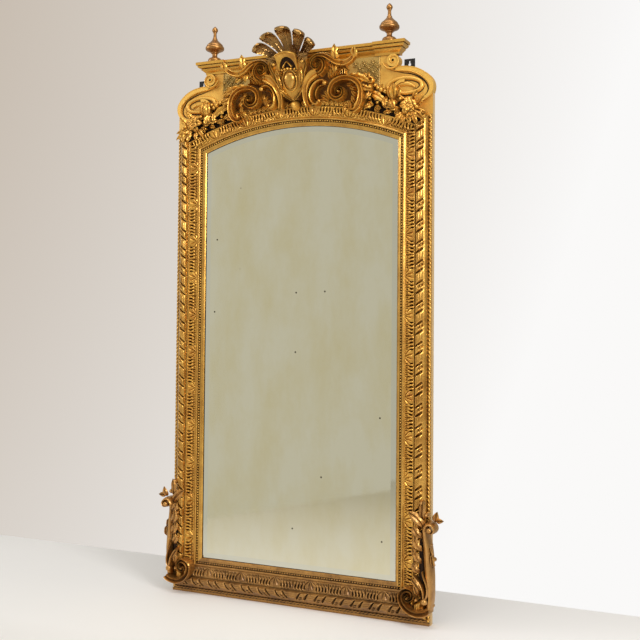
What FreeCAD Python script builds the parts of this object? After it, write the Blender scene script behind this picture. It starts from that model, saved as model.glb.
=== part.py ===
import FreeCAD, Part
import math
import os

# Carved and gilded floor mirror. Millimetres. X to the right, front toward -Y, Z up from the floor.
# The origin lies on the floor, at the middle of the frame.

Vec = FreeCAD.Vector

# Frame and plate
SIGHT_HALF = 415.0          # half the width of the glass that shows
SIGHT_BOTTOM = 142.0        # height where the glass begins to show
SPRING_Z = 1784.0           # height where the arch springs from the upright sides
ARCH_RISE = 80.0            # rise of the arch over the springing
CREST_OVER = 86.0           # the stiles end, and the crest board starts, this far over the top of the arch
CORNICE_UP = 157.0          # underside of the cornice over the foot of the crest board
BOARD_BACK = 2.0            # back face of the frame boards
BOARD_T = 22.0              # thickness of the frame boards
REBATE = 10.0               # lip of the sight moulding over the opening
GLASS_T = 5.0               # thickness of the plate
GLASS_EDGE_GAP = 2.0        # room round the plate in the opening
BEVEL_W = 22.0              # width of the bevel
BEVEL_RISE = 1.2            # the middle of the plate stands this far in front of its edge

# Mouldings, width of each run measured outward from the sight edge
SIGHT_W = 34.0
LEAF_W = 39.0
RIBBON_W = 46.0
ROPE_R = 6.5
ROPE_SEAT = 4.5             # rope centre in front of the boards
FRAME_EDGE = 3.0            # the frame ends this far outside the rope
SIGHT_LIP_H = 9.0           # height of the sight edge over the boards
SIGHT_BEAD_R = 4.0
RIDGE_H = 28.0              # height of the bright ridge
LEAF_IN_H = 22.0            # leaf band, inner and outer height
LEAF_OUT_H = 31.0
TORUS_H = 41.0              # ribbon torus, highest point
COVE_H = 9.0                # foot of the cove next to the rope

# Joinery
TENON_L = 70.0
TENON_T = 8.0
TENON_SHOULDER = 20.0       # tenon is shorter than its rail by this on each edge
FIT = 0.2                   # clearance round tenons, housings and spigots

# Back
BACKBOARD_T = 9.0
BACKBOARD_LAP = 27.0        # lap of the backboards on the stiles
BACKBOARD_LOW = 60.0
BACKBOARD_DROP = 15.0       # top of the backboards under the foot of the crest board
SHIPLAP = 12.0
BATTEN_GAP = 3.0            # gap between the backboards and the battens
BATTEN_W = 60.0
BATTEN_D = 25.0
BATTEN_UP = 70.0            # over the foot of the crest board
CROSSBAR_H = 70.0
CROSSBAR_Z = (400.0, 1480.0)
CROSSBAR_HOUSING = 30.0     # length of the crossbar let into each batten
BLOCK_LEG = 17.0            # glazing blocks, leg of the triangle
BLOCK_L = 60.0
BLOCKS_PER_SIDE = 4

# Keyhole plates behind the shoulders
HANGER_IN = 100.0           # in from the side of the frame
HANGER_W = 42.0
HANGER_UP = 80.0            # foot of the plate over the foot of the crest board
HANGER_L = 62.0             # length of the plate
HANGER_T = 2.5
KEYHOLE_R = 5.5
KEYHOLE_UP = 40.0           # centre of the keyhole over the foot of the plate
KEYSLOT_W = 5.0
KEYSLOT_L = 14.0            # reach of the slot over the centre of the keyhole

# Crest board and shoulders
SHOULDER_OUT = 5.0          # the shoulder swells past the frame by this
NOTCH_IN = 126.0            # notch beside the small volute, in from the side of the frame
NOTCH_UP = 110.0            # over the foot of the crest board
NECK_IN = 165.0             # upright edge of the board under the cornice, in from the side of the frame
VOLUTE_IN = 153.0           # in from the side of the frame
VOLUTE_UP = 133.0           # over the foot of the crest board
VOLUTE_R = 24.0
VOLUTE_EYE_R = 5.0
VOLUTE_H = 18.0
FIELD_W = 208.0             # width of the shoulder field
FIELD_T = 4.0
BAND_W = 15.0
BAND_H = 10.0
DIAPER_IN = 206.0
DIAPER_UP = 98.0            # lower edge of the panel over the foot of the crest board
DIAPER_CORNER_UP = 8.0      # lowest corner of the panel over the foot of the crest board

# Cornice
CORNICE_H = 48.0
CORNICE_IN = 135.0          # in from the side of the frame
CORNICE_PROJ = 37.0
CORNICE_FRONT = -24.0       # front of the lowest step
CORNICE_SETBACK = 9.0       # the centre run lies behind the end blocks
CORNICE_BREAK_IN = 228.0    # inner end of the end block, in from the side of the frame

# Finials
FINIAL_IN = 170.0           # in from the side of the frame
FINIAL_Y = -30.0
FINIAL_H = 148.0
FINIAL_R = 40.0
SPIGOT_R = 6.0
SPIGOT_L = 22.0

# Crest ornament, eye of each scroll, reach and depth
C_EYE_X = 195.0
C_EYE_UP = 23.0             # over the foot of the crest board
C_REACH = 93.0
C_GROWTH = 0.27
C_BAND_W = 17.0
C_BACK = -50.0
C_FRONT = -80.0
SMALL_X = 118.0
SMALL_UP = 31.0             # over the foot of the crest board
SMALL_R = 43.0
SMALL_BAND_W = 13.0
SMALL_FRONT = -86.0
UPPER_EYE_X = 119.0
UPPER_EYE_UP = 119.0        # over the foot of the crest board
UPPER_REACH = 44.0
UPPER_GROWTH = 0.19
UPPER_BAND_W = 12.0
UPPER_BACK = -88.0
UPPER_FRONT = -124.0
PAD_R = 11.0
SPRAY_W = 14.0
SPRAY_H = 16.0
SPRAY_IN = 24.0             # spray starts this far from the middle, and ends at SPRAY_OUT
SPRAY_OUT = 250.0

# Cartouche, set on a wedge so that it leans toward the viewer
CORE_UP = 12.0              # foot of the wedge over the foot of the crest board
CORE_H = 142.0              # height of the wedge
CORE_FOOT = -62.0           # front of the wedge at its foot
CORE_HEAD = -112.0          # front of the wedge at its head
CORE_HALF = 48.0
SHIELD_HALF = 76.0
SHIELD_T = 14.0
SHIELD_H = 165.0
DIADEM_HALF = 47.0
DIADEM_H = 44.0
DIADEM_T = 12.0
CABOCHON_RX = 23.0
CABOCHON_RZ = 33.0
CABOCHON_H = 17.0
CABOCHON_UP = 76.0
BOSS_RX = 15.0
BOSS_RZ = 19.0
BOSS_DROP = 10.0            # centre of the pendant boss under the foot of the crest board
BOSS_H = 54.0
SOCKET_R = 24.0
SOCKET_T = 26.0
SOCKET_UP = 172.0

# Plumes: angle over the horizontal, length from the socket centre, width at the tip
PLUME_CENTRE = (90.0, 112.0, 68.0)
PLUME_INNER = (50.0, 122.0, 56.0)
PLUME_OUTER = (20.0, 138.0, 50.0)
PLUME_FORWARD = 66.0
PLUME_T = 10.0
PLUME_ROOT_W = 8.0

# Garland from the C scroll to the corner of the frame
GARLAND_W = 16.0
GARLAND_H = 20.0
ROSE_R = 27.0
ROSE_H = 30.0
BLOOM_R = 21.0
BLOOM_H = 26.0
GARLAND_LEAF_L = 56.0
GARLAND_LEAF_W = 20.0

# Lower corner brackets
BRACKET_EYE_IN = 75.0       # in from the side of the frame
BRACKET_EYE_Z = 96.0
BRACKET_REACH = 38.0
BRACKET_BAND_W = 14.0
BRACKET_FRONT = -78.0
BRACKET_TOP = 340.0
BRACKET_OUT = 18.0          # leaf body stands outside the frame by this
BRACKET_CURL_R = 20.0
BRACKET_BODY_W = 46.0

# Worked-out values
BOARD_FRONT = BOARD_BACK - BOARD_T
OPEN_HALF = SIGHT_HALF + REBATE
OPEN_BOTTOM = SIGHT_BOTTOM - REBATE
ARCH_R = (SIGHT_HALF ** 2 + ARCH_RISE ** 2) / (2.0 * ARCH_RISE)
ARCH_CZ = SPRING_Z + ARCH_RISE - ARCH_R
LEAF_OUT = SIGHT_W + LEAF_W
RIBBON_OUT = LEAF_OUT + RIBBON_W
ROPE_OUT = RIBBON_OUT + 2.0 * ROPE_R
FRAME_HALF = SIGHT_HALF + ROPE_OUT + FRAME_EDGE
CREST_Z = SPRING_Z + ARCH_RISE + CREST_OVER
CORNICE_Z = CREST_Z + CORNICE_UP
BACKBOARD_HIGH = CREST_Z - BACKBOARD_DROP
BATTEN_IN = OPEN_HALF + BACKBOARD_LAP + BATTEN_GAP
BATTEN_TOP = CREST_Z + BATTEN_UP
HANGER_X = FRAME_HALF - HANGER_IN
HANGER_LOW = CREST_Z + HANGER_UP
HANGER_HIGH = HANGER_LOW + HANGER_L
KEYHOLE_Z = HANGER_LOW + KEYHOLE_UP
KEYSLOT_TOP = KEYHOLE_Z + KEYSLOT_L
NOTCH_X = FRAME_HALF - NOTCH_IN
NOTCH_Z = CREST_Z + NOTCH_UP
NECK_X = FRAME_HALF - NECK_IN
VOLUTE_X = FRAME_HALF - VOLUTE_IN
VOLUTE_Z = CREST_Z + VOLUTE_UP
FIELD_IN = FRAME_HALF - FIELD_W
DIAPER_LOW = CREST_Z + DIAPER_UP
DIAPER_CORNER_Z = CREST_Z + DIAPER_CORNER_UP
CORNICE_BOTTOM_HALF = FRAME_HALF - CORNICE_IN
CORNICE_BREAK_X = FRAME_HALF - CORNICE_BREAK_IN
FINIAL_X = FRAME_HALF - FINIAL_IN
C_EYE_Z = CREST_Z + C_EYE_UP
SMALL_Z = CREST_Z + SMALL_UP
UPPER_EYE_Z = CREST_Z + UPPER_EYE_UP
CORE_LOW = CREST_Z + CORE_UP
CORE_HIGH = CORE_LOW + CORE_H
BOSS_Z = CREST_Z - BOSS_DROP
BRACKET_EYE_X = FRAME_HALF - BRACKET_EYE_IN
LEAN = math.degrees(math.atan2(CORE_FOOT - CORE_HEAD, CORE_HIGH - CORE_LOW))
MITRE_TOP = ARCH_CZ + math.sqrt((ARCH_R + LEAF_OUT) ** 2 - (SIGHT_HALF + LEAF_OUT) ** 2)
MITRE_RISE = (MITRE_TOP - SPRING_Z) / LEAF_OUT


def arch_z(offset, x):
    """Height at x of the arch line that lies the given offset outside the sight edge."""
    return ARCH_CZ + math.sqrt((ARCH_R + offset) ** 2 - x ** 2)


def at(x, z, y=0.0):
    """A point from its place on the front view and its depth."""
    return Vec(x, y, z)


def box(x0, x1, y0, y1, z0, z1):
    """A board between the given limits."""
    return Part.makeBox(x1 - x0, y1 - y0, z1 - z0, Vec(x0, y0, z0))


def mirrored(shape):
    """The same piece for the other side of the frame."""
    return shape.mirror(Vec(0, 0, 0), Vec(1, 0, 0))


def closed_face(edges):
    """A face bounded by edges that follow one another."""
    return Part.Face(Part.Wire(Part.__sortEdges__(edges)))


def lines(points):
    """Straight edges through points of the front view."""
    return [Part.makeLine(at(*a), at(*b)) for a, b in zip(points, points[1:])]


def chain(places):
    """Arcs, each through three of the given places in turn."""
    edges = []
    for i in range(0, len(places) - 2, 2):
        first, middle, last = places[i:i + 3]
        bend = (middle - first).cross(last - middle).Length
        if bend < 1e-6 * (last - first).Length ** 2:
            edges.append(Part.makeLine(first, last))
        else:
            edges.append(Part.Arc(first, middle, last).toShape())
    return edges


def smooth(points):
    """A smooth path through points of the front view."""
    path = Part.BSplineCurve()
    path.interpolate([at(*p) for p in points])
    return path


def along(path, share):
    """Place and direction at a share of the way along a path."""
    u = path.FirstParameter + share * (path.LastParameter - path.FirstParameter)
    return path.value(u), path.tangent(u)[0]


def curve(points, arcs=2):
    """A smooth outline through points of the front view, made of arcs."""
    path = smooth(points)
    return chain([along(path, i / (2.0 * arcs))[0] for i in range(2 * arcs + 1)])


def arc(offset, x0, x1):
    """An edge of the arch line between two x values."""
    mid = (x0 + x1) / 2.0
    ends = [at(x, arch_z(offset, x)) for x in (x0, mid, x1)]
    return Part.Arc(*ends).toShape()


def slab(face, y0, y1):
    """A front-view face given depth."""
    moved = face.copy()
    moved.translate(Vec(0, y0, 0))
    return moved.extrude(Vec(0, y1 - y0, 0))


def polygon(points):
    """A face with straight sides on the front view."""
    return closed_face(lines(list(points) + [points[0]]))


def disc(x, z, radius, y0, y1):
    """A round piece whose axis runs front to back."""
    return Part.makeCylinder(radius, y1 - y0, Vec(x, y0, z), Vec(0, 1, 0))


def oval(x, z, rx, rz):
    """An oval face on the front view, in four arcs."""
    places = []
    for i in range(9):
        turn = math.radians(45 * i)
        places.append(at(x + rx * math.cos(turn), z + rz * math.sin(turn)))
    return Part.Face(Part.Wire(chain(places)))


def cushion(x, z, rx, rz, height, y):
    """An oval boss with a rounded front that stands forward from depth y."""
    bend = (rx ** 2 + (0.6 * height) ** 2) / (1.2 * height)
    barrel = Part.makeCylinder(bend, 2 * rz, Vec(x, y - height + bend, z - rz), Vec(0, 0, 1))
    return slab(oval(x, z, rx, rz), y - height, y).common(barrel)


def joined(shapes):
    """One solid made of shapes that touch or overlap."""
    return shapes[0].multiFuse(shapes[1:]).removeSplitter()


def largest(shape):
    """The main solid left after a cut."""
    return max(shape.Solids, key=lambda solid: solid.Volume)


def spiral(eye, reach, growth, start, stop, count, flat=1.0):
    """Points of a spiral about its eye, from the start angle (outer end) to the stop angle, in degrees."""
    points = []
    for i in range(count):
        angle = start + (stop - start) * i / (count - 1)
        radius = reach * math.exp(-growth * math.radians(abs(angle)))
        if angle < 0:
            radius = reach * math.exp(growth * math.radians(-angle))
        x = eye[0] + flat * radius * math.cos(math.radians(angle))
        points.append((x, eye[1] + radius * math.sin(math.radians(angle))))
    return points


def band_face(points, width_start, width_end, arcs):
    """A ribbon of tapering width along a smooth path, with sides made of arcs."""
    path = smooth(points)
    sides = ([], [])
    for i in range(2 * arcs + 1):
        share = i / (2.0 * arcs)
        place, onward = along(path, share)
        half = (width_start + (width_end - width_start) * share) / 2.0
        across = Vec(onward.z, 0, -onward.x).multiply(half)
        sides[0].append(place + across)
        sides[1].append(place - across)
    ends = [Part.makeLine(sides[0][i], sides[1][i]) for i in (0, -1)]
    return closed_face(chain(sides[0]) + chain(sides[1]) + ends)


def scroll_band(points, width_start, width_end, back, front, arcs):
    """A scroll: a tapering band that stands on edge."""
    return slab(band_face(points, width_start, width_end, arcs), front, back)


def leaf(root, angle, length, width, back, front):
    """A pointed leaf on the front view, from its root in the given direction."""
    turn = math.radians(angle)

    def place(along, across):
        x = root[0] + along * math.cos(turn) - across * math.sin(turn)
        return (x, root[1] + along * math.sin(turn) + across * math.cos(turn))

    sides = []
    for sign in (1.0, -1.0):
        belly = place(0.42 * length, sign * width / 2.0)
        sides += chain([at(*place(0, 0)), at(*belly), at(*place(length, 0))])
    return slab(closed_face(sides), front, back)


def export(shape, name):
    """Write one piece."""
    shape.exportStep("parts/" + name + ".step")


# Frame boards

def tenon(x, z0, z1, grow):
    """Tenons at both ends of a rail; grow is the clearance for the mortise."""
    middle = (BOARD_FRONT + BOARD_BACK) / 2.0
    half = TENON_T / 2.0 + grow
    reach = x + TENON_L + grow
    return box(-reach, reach, middle - half, middle + half, z0 - grow, z1 + grow)


def frame_boards():
    """Stiles, arched top rail, and bottom rail with the fillet that the rope lies on, tenoned together."""
    bottom_tenon = (TENON_SHOULDER, OPEN_BOTTOM - TENON_SHOULDER)
    arch_end = arch_z(REBATE, OPEN_HALF)
    top_tenon = (arch_end + TENON_SHOULDER, CREST_Z - TENON_SHOULDER)
    rail_box = box(-OPEN_HALF, OPEN_HALF, BOARD_FRONT, BOARD_BACK, 0, OPEN_BOTTOM)
    foot_half = SIGHT_HALF + ROPE_OUT
    foot_front = BOARD_FRONT - ROPE_SEAT - ROPE_R
    fillet = box(-foot_half, foot_half, foot_front, BOARD_FRONT, 0, SIGHT_BOTTOM - ROPE_OUT)
    bottom = joined([rail_box, tenon(OPEN_HALF, *bottom_tenon, 0.0), fillet])
    sides = lines([(OPEN_HALF, arch_end), (OPEN_HALF, CREST_Z), (-OPEN_HALF, CREST_Z),
                   (-OPEN_HALF, arch_end)])
    arched = slab(closed_face(sides + [arc(REBATE, -OPEN_HALF, OPEN_HALF)]), BOARD_FRONT, BOARD_BACK)
    tongues = tenon(OPEN_HALF, *top_tenon, 0.0)
    keep = box(OPEN_HALF, FRAME_HALF, BOARD_FRONT, BOARD_BACK, 0, CREST_Z)
    ends = tongues.common(keep)
    top = joined([arched, ends, mirrored(ends)])
    stile = box(OPEN_HALF, FRAME_HALF, BOARD_FRONT, BOARD_BACK, 0, CREST_Z)
    for low, high in (bottom_tenon, top_tenon):
        stile = stile.cut(tenon(OPEN_HALF, low, high, FIT))
    return {"stile_right": stile, "stile_left": mirrored(stile), "bottom_rail": bottom, "top_rail": top}


def shoulder_edges():
    """The outer edge of the crest on the right, from the frame side up to the cornice."""
    swell = FRAME_HALF + SHOULDER_OUT
    rise = NOTCH_Z - CREST_Z
    run = swell - NOTCH_X
    path = [(FRAME_HALF, CREST_Z), (swell, CREST_Z + 0.28 * rise),
            (swell - 0.07 * run, CREST_Z + 0.52 * rise), (swell - 0.25 * run, CREST_Z + 0.72 * rise),
            (swell - 0.5 * run, CREST_Z + 0.87 * rise), (NOTCH_X, NOTCH_Z)]
    return curve(path, 4) + lines([(NOTCH_X, NOTCH_Z), (NECK_X, NOTCH_Z), (NECK_X, CORNICE_Z)])


def crest_board():
    """The board behind the crest, with rounded shoulders and a small volute under the cornice."""
    rest = lines([(NECK_X, CORNICE_Z), (0, CORNICE_Z), (0, CREST_Z), (FRAME_HALF, CREST_Z)])
    half = slab(closed_face(shoulder_edges() + rest), BOARD_FRONT, BOARD_BACK)
    half = half.fuse(disc(VOLUTE_X, VOLUTE_Z, VOLUTE_R, BOARD_FRONT, BOARD_BACK))
    return joined([half, mirrored(half)])


# Mouldings

def profile_face(points, arcs):
    """A moulding section; points are (outward, height over the boards), arcs give middles by index."""
    ring = [Vec(d, BOARD_FRONT - h, 0) for d, h in points]
    edges = []
    for i, start in enumerate(ring):
        end = ring[(i + 1) % len(ring)]
        if i in arcs:
            d, h = arcs[i]
            edges.append(Part.Arc(start, Vec(d, BOARD_FRONT - h, 0), end).toShape())
        else:
            edges.append(Part.makeLine(start, end))
    return Part.Face(Part.Wire(edges))


def sight_points():
    """Outline of the sloping sight edge, bead and bright ridge."""
    bead = SIGHT_W - 21.0
    slope = SIGHT_LIP_H + 6.0
    r = SIGHT_BEAD_R
    return [(0, 0), (0, SIGHT_LIP_H), (bead, slope), (bead + 0.5 * r, slope + r),
            (bead + 1.5 * r, slope + r), (bead + 2 * r, slope), (bead + 2 * r + 3, RIDGE_H - 2),
            (bead + 2 * r + 6, RIDGE_H), (bead + 2 * r + 9, RIDGE_H - 2), (SIGHT_W, LEAF_IN_H), (SIGHT_W, 0)]


def leaf_points():
    """Outline of the hollow band that carries the leaf tongues."""
    return [(SIGHT_W, 0), (SIGHT_W, LEAF_IN_H), (SIGHT_W + 0.55 * LEAF_W, LEAF_IN_H + 2.5),
            (LEAF_OUT, LEAF_OUT_H), (LEAF_OUT, 0)]


def ribbon_section():
    """Torus wrapped by the ribbon, and the cove outside it."""
    crown = LEAF_OUT + 0.76 * RIBBON_W
    points = [(LEAF_OUT, 0), (LEAF_OUT, LEAF_OUT_H - 2), (crown, LEAF_OUT_H), (RIBBON_OUT, COVE_H),
              (RIBBON_OUT, 0)]
    arcs = {1: (LEAF_OUT + 0.4 * RIBBON_W, TORUS_H), 2: (crown + 3.0, COVE_H + 7.0)}
    return profile_face(points, arcs)


def rope_section():
    """Round bead with a flat seat."""
    middle = RIBBON_OUT + ROPE_R
    seat = math.sqrt(ROPE_R ** 2 - ROPE_SEAT ** 2)
    points = [(middle - seat, 0), (middle + seat, 0)]
    return profile_face(points, {0: (middle, ROPE_SEAT + ROPE_R)})


def cover_section():
    """Outline just over all four mouldings, with flats; what lies on them is cut to it."""
    crown = LEAF_OUT + 0.76 * RIBBON_W
    rope_top = ROPE_SEAT + ROPE_R
    over = [(LEAF_OUT, LEAF_OUT_H), (LEAF_OUT + 0.18 * RIBBON_W, TORUS_H - 1.0),
            (LEAF_OUT + 0.3 * RIBBON_W, TORUS_H), (LEAF_OUT + 0.5 * RIBBON_W, TORUS_H),
            (LEAF_OUT + 0.62 * RIBBON_W, TORUS_H - 1.0), (crown + 1.0, LEAF_OUT_H), (RIBBON_OUT, COVE_H),
            (RIBBON_OUT + 0.6 * ROPE_R, rope_top), (RIBBON_OUT + 1.4 * ROPE_R, rope_top),
            (ROPE_OUT, 0.75 * rope_top), (ROPE_OUT, 0)]
    return profile_face(sight_points()[:-1] + leaf_points()[2:3] + over, {})


def moulding_mask(kind):
    """The mitred region that a length of moulding fills on the front view."""
    out = ROPE_OUT + 5.0
    top = SPRING_Z + MITRE_RISE * out
    corner = (SIGHT_HALF + out, SIGHT_BOTTOM - out)
    if kind == "side":
        points = [(SIGHT_HALF, SIGHT_BOTTOM), corner, (SIGHT_HALF + out, top), (SIGHT_HALF, SPRING_Z)]
    elif kind == "bottom":
        points = [(SIGHT_HALF, SIGHT_BOTTOM), corner, (-corner[0], corner[1]), (-SIGHT_HALF, SIGHT_BOTTOM)]
    else:
        high = CREST_Z + out
        points = [(SIGHT_HALF, SPRING_Z), (SIGHT_HALF + out, top), (SIGHT_HALF + out, high),
                  (-SIGHT_HALF - out, high), (-SIGHT_HALF - out, top), (-SIGHT_HALF, SPRING_Z)]
    return slab(polygon(points), BOARD_FRONT - 2 * TORUS_H, BOARD_FRONT + 1)


def moulding_side(section):
    """A length for the right stile."""
    run = section.copy()
    run.translate(Vec(SIGHT_HALF, 0, 0))
    return run.extrude(Vec(0, 0, CREST_Z)).common(moulding_mask("side")).Solids[0]


def moulding_bottom(section):
    """A length for the bottom rail."""
    run = section.copy()
    run.rotate(Vec(0, 0, 0), Vec(0, 1, 0), 90)
    run.translate(Vec(-FRAME_HALF, 0, SIGHT_BOTTOM))
    return run.extrude(Vec(2 * FRAME_HALF, 0, 0)).common(moulding_mask("bottom")).Solids[0]


def moulding_arch(section):
    """A length bent round the arch."""
    spread = math.degrees(math.asin((SIGHT_HALF + LEAF_OUT) / (ARCH_R + LEAF_OUT))) + 2.0
    centre = Vec(0, 0, ARCH_CZ)
    run = section.copy()
    run.rotate(Vec(0, 0, 0), Vec(0, 1, 0), -90)
    run.translate(Vec(0, 0, ARCH_CZ + ARCH_R))
    run.rotate(centre, Vec(0, 1, 0), -spread)
    return run.revolve(centre, Vec(0, 1, 0), 2 * spread).common(moulding_mask("arch")).Solids[0]


def mouldings():
    """All lengths of the four mouldings."""
    made = {}
    sections = {"rope": rope_section(), "ribbon": ribbon_section(),
                "leaf": profile_face(leaf_points(), {}), "sight": profile_face(sight_points(), {})}
    for name, section in sections.items():
        side = moulding_side(section)
        made[name + "_moulding_right"] = side
        made[name + "_moulding_left"] = mirrored(side)
        made[name + "_moulding_bottom"] = moulding_bottom(section)
        if name in ("leaf", "sight"):
            made[name + "_moulding_arch"] = moulding_arch(section)
    return made


# Plate and back

def plate_face(inset):
    """The outline of the plate, the given distance inside the sight edge."""
    half = SIGHT_HALF - inset
    low = SIGHT_BOTTOM + inset
    high = arch_z(-inset, half)
    sides = lines([(half, high), (half, low), (-half, low), (-half, high)])
    return closed_face(sides + [arc(-inset, -half, half)])


def mirror_plate():
    """The plate in its opening, with a bevel round the part that shows."""
    body = slab(plate_face(GLASS_EDGE_GAP - REBATE), BOARD_FRONT, BOARD_FRONT + GLASS_T)
    outer = plate_face(0.5).OuterWire.copy()
    inner = plate_face(BEVEL_W).OuterWire.copy()
    outer.translate(Vec(0, BOARD_FRONT, 0))
    inner.translate(Vec(0, BOARD_FRONT - BEVEL_RISE, 0))
    return joined([body, Part.makeLoft([outer, inner], True, True)])


def glazing_blocks():
    """Triangular blocks glued round the opening, against the back of the plate."""
    back = BOARD_FRONT + GLASS_T
    corner = [Vec(OPEN_HALF, back, 0), Vec(OPEN_HALF - BLOCK_LEG, back, 0),
              Vec(OPEN_HALF, back + BLOCK_LEG, 0)]
    face = Part.Face(Part.makePolygon(corner + corner[:1]))
    blocks = []
    span = SPRING_Z - OPEN_BOTTOM
    for i in range(BLOCKS_PER_SIDE):
        block = face.extrude(Vec(0, 0, BLOCK_L))
        block.translate(Vec(0, 0, OPEN_BOTTOM + span * (i + 0.5) / BLOCKS_PER_SIDE - BLOCK_L / 2.0))
        blocks += [block, mirrored(block)]
    return Part.makeCompound(blocks)


def backboards():
    """Two boards that lap each other across the middle."""
    half = OPEN_HALF + BACKBOARD_LAP
    middle = (BACKBOARD_LOW + BACKBOARD_HIGH) / 2.0
    split = BOARD_BACK + BACKBOARD_T / 2.0
    back = BOARD_BACK + BACKBOARD_T
    lower = box(-half, half, BOARD_BACK, back, BACKBOARD_LOW, middle)
    lower = joined([lower, box(-half, half, BOARD_BACK, split, middle, middle + SHIPLAP)])
    upper = box(-half, half, BOARD_BACK, back, middle + SHIPLAP, BACKBOARD_HIGH)
    upper = joined([upper, box(-half, half, split, back, middle, middle + SHIPLAP)])
    return {"backboard_lower": lower, "backboard_upper": upper}


def back_frame():
    """Upright battens, and crossbars housed in them."""
    rest = BOARD_BACK + BACKBOARD_T
    back = BOARD_BACK + BATTEN_D
    batten = box(BATTEN_IN, BATTEN_IN + BATTEN_W, BOARD_BACK, back, 0, BATTEN_TOP)
    reach = BATTEN_IN + CROSSBAR_HOUSING
    made = {}
    for name, z in zip(("crossbar_lower", "crossbar_upper"), CROSSBAR_Z):
        made[name] = box(-reach, reach, rest, back, z, z + CROSSBAR_H)
        batten = batten.cut(box(0, reach + FIT, rest, back + 1, z - FIT, z + CROSSBAR_H + FIT))
    made["batten_right"] = batten
    made["batten_left"] = mirrored(batten)
    return made


def hanger_plate():
    """Steel plate on the right with a keyhole: round below, a slot above."""
    back = BOARD_BACK + HANGER_T
    low = HANGER_X - HANGER_W / 2.0
    plate = box(low, low + HANGER_W, BOARD_BACK, back, HANGER_LOW, HANGER_HIGH)
    half = KEYSLOT_W / 2.0
    plate = plate.cut(disc(HANGER_X, KEYHOLE_Z, KEYHOLE_R, BOARD_BACK - 1, back + 1))
    slot = box(HANGER_X - half, HANGER_X + half, BOARD_BACK - 1, back + 1, KEYHOLE_Z, KEYSLOT_TOP - half)
    return plate.cut(slot).cut(disc(HANGER_X, KEYSLOT_TOP - half, half, BOARD_BACK - 1, back + 1))


# Cornice and finials

def cornice_edges(turn):
    """The cornice section; turn maps projection and height to a point."""
    p = CORNICE_PROJ
    h = CORNICE_H
    outline = [(0, 0), (0.16 * p, 0), (0.16 * p, 0.16 * h), (0.46 * p, 0.42 * h), (0.52 * p, 0.42 * h),
               (0.52 * p, 0.5 * h), (0.85 * p, 0.72 * h), (p, 0.72 * h), (p, h), (0, h)]
    middles = {2: (0.24 * p, 0.36 * h), 5: (0.76 * p, 0.58 * h)}
    edges = []
    for i, start in enumerate(outline):
        end = outline[(i + 1) % len(outline)]
        if i in middles:
            edges.append(Part.Arc(turn(*start), turn(*middles[i]), turn(*end)).toShape())
        else:
            edges.append(Part.makeLine(turn(*start), turn(*end)))
    return Part.Face(Part.Wire(edges))


def cornice_front(x0, x1, front):
    """A straight run of cornice that faces forward."""
    section = cornice_edges(lambda p, z: Vec(x0, front - p, CORNICE_Z + z))
    run = section.extrude(Vec(x1 - x0, 0, 0))
    return joined([run, box(x0, x1, front, BOARD_BACK, CORNICE_Z, CORNICE_Z + CORNICE_H)])


def cornice():
    """The centre run, and end blocks whose moulding returns along the sides."""
    centre = cornice_front(-CORNICE_BREAK_X, CORNICE_BREAK_X, CORNICE_FRONT + CORNICE_SETBACK)
    far = CORNICE_BOTTOM_HALF + CORNICE_PROJ
    block = cornice_front(CORNICE_BREAK_X, far + 1, CORNICE_FRONT)
    depth = CORNICE_FRONT - CORNICE_PROJ
    section = cornice_edges(lambda p, z: Vec(CORNICE_BOTTOM_HALF + p, depth, CORNICE_Z + z))
    side = section.extrude(Vec(0, BOARD_BACK - depth, 0))
    inner = box(CORNICE_BREAK_X, CORNICE_BOTTOM_HALF, depth, BOARD_BACK, CORNICE_Z, CORNICE_Z + CORNICE_H)
    block = block.common(joined([side, inner]))
    block = block.cut(Part.makeCylinder(SPIGOT_R + FIT, SPIGOT_L + FIT, finial_seat(), Vec(0, 0, -1)))
    return {"cornice_centre": centre, "cornice_right": block, "cornice_left": mirrored(block)}


def finial_seat():
    """Where the finial stands on the right-hand block."""
    return Vec(FINIAL_X, FINIAL_Y, CORNICE_Z + CORNICE_H)


def finial():
    """Turned finial on the right: foot, neck, flattened bulb, slim neck and pointed ball."""
    r = FINIAL_R
    h = FINIAL_H
    outline = [(0, -SPIGOT_L), (SPIGOT_R, -SPIGOT_L), (SPIGOT_R, 0), (0.68 * r, 0), (0.68 * r, 0.06 * h),
               (0.34 * r, 0.06 * h), (0.34 * r, 0.22 * h), (0.66 * r, 0.22 * h), (r, 0.35 * h),
               (r, 0.41 * h), (0.2 * r, 0.66 * h), (0.2 * r, 0.83 * h), (0.34 * r, 0.83 * h),
               (0.34 * r, 0.91 * h), (0, h)]
    edges = lines(outline + outline[:1])
    turned = closed_face(edges).revolve(Vec(0, 0, 0), Vec(0, 0, 1), 360)
    turned.translate(finial_seat())
    return turned


# Crest ornament

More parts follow.
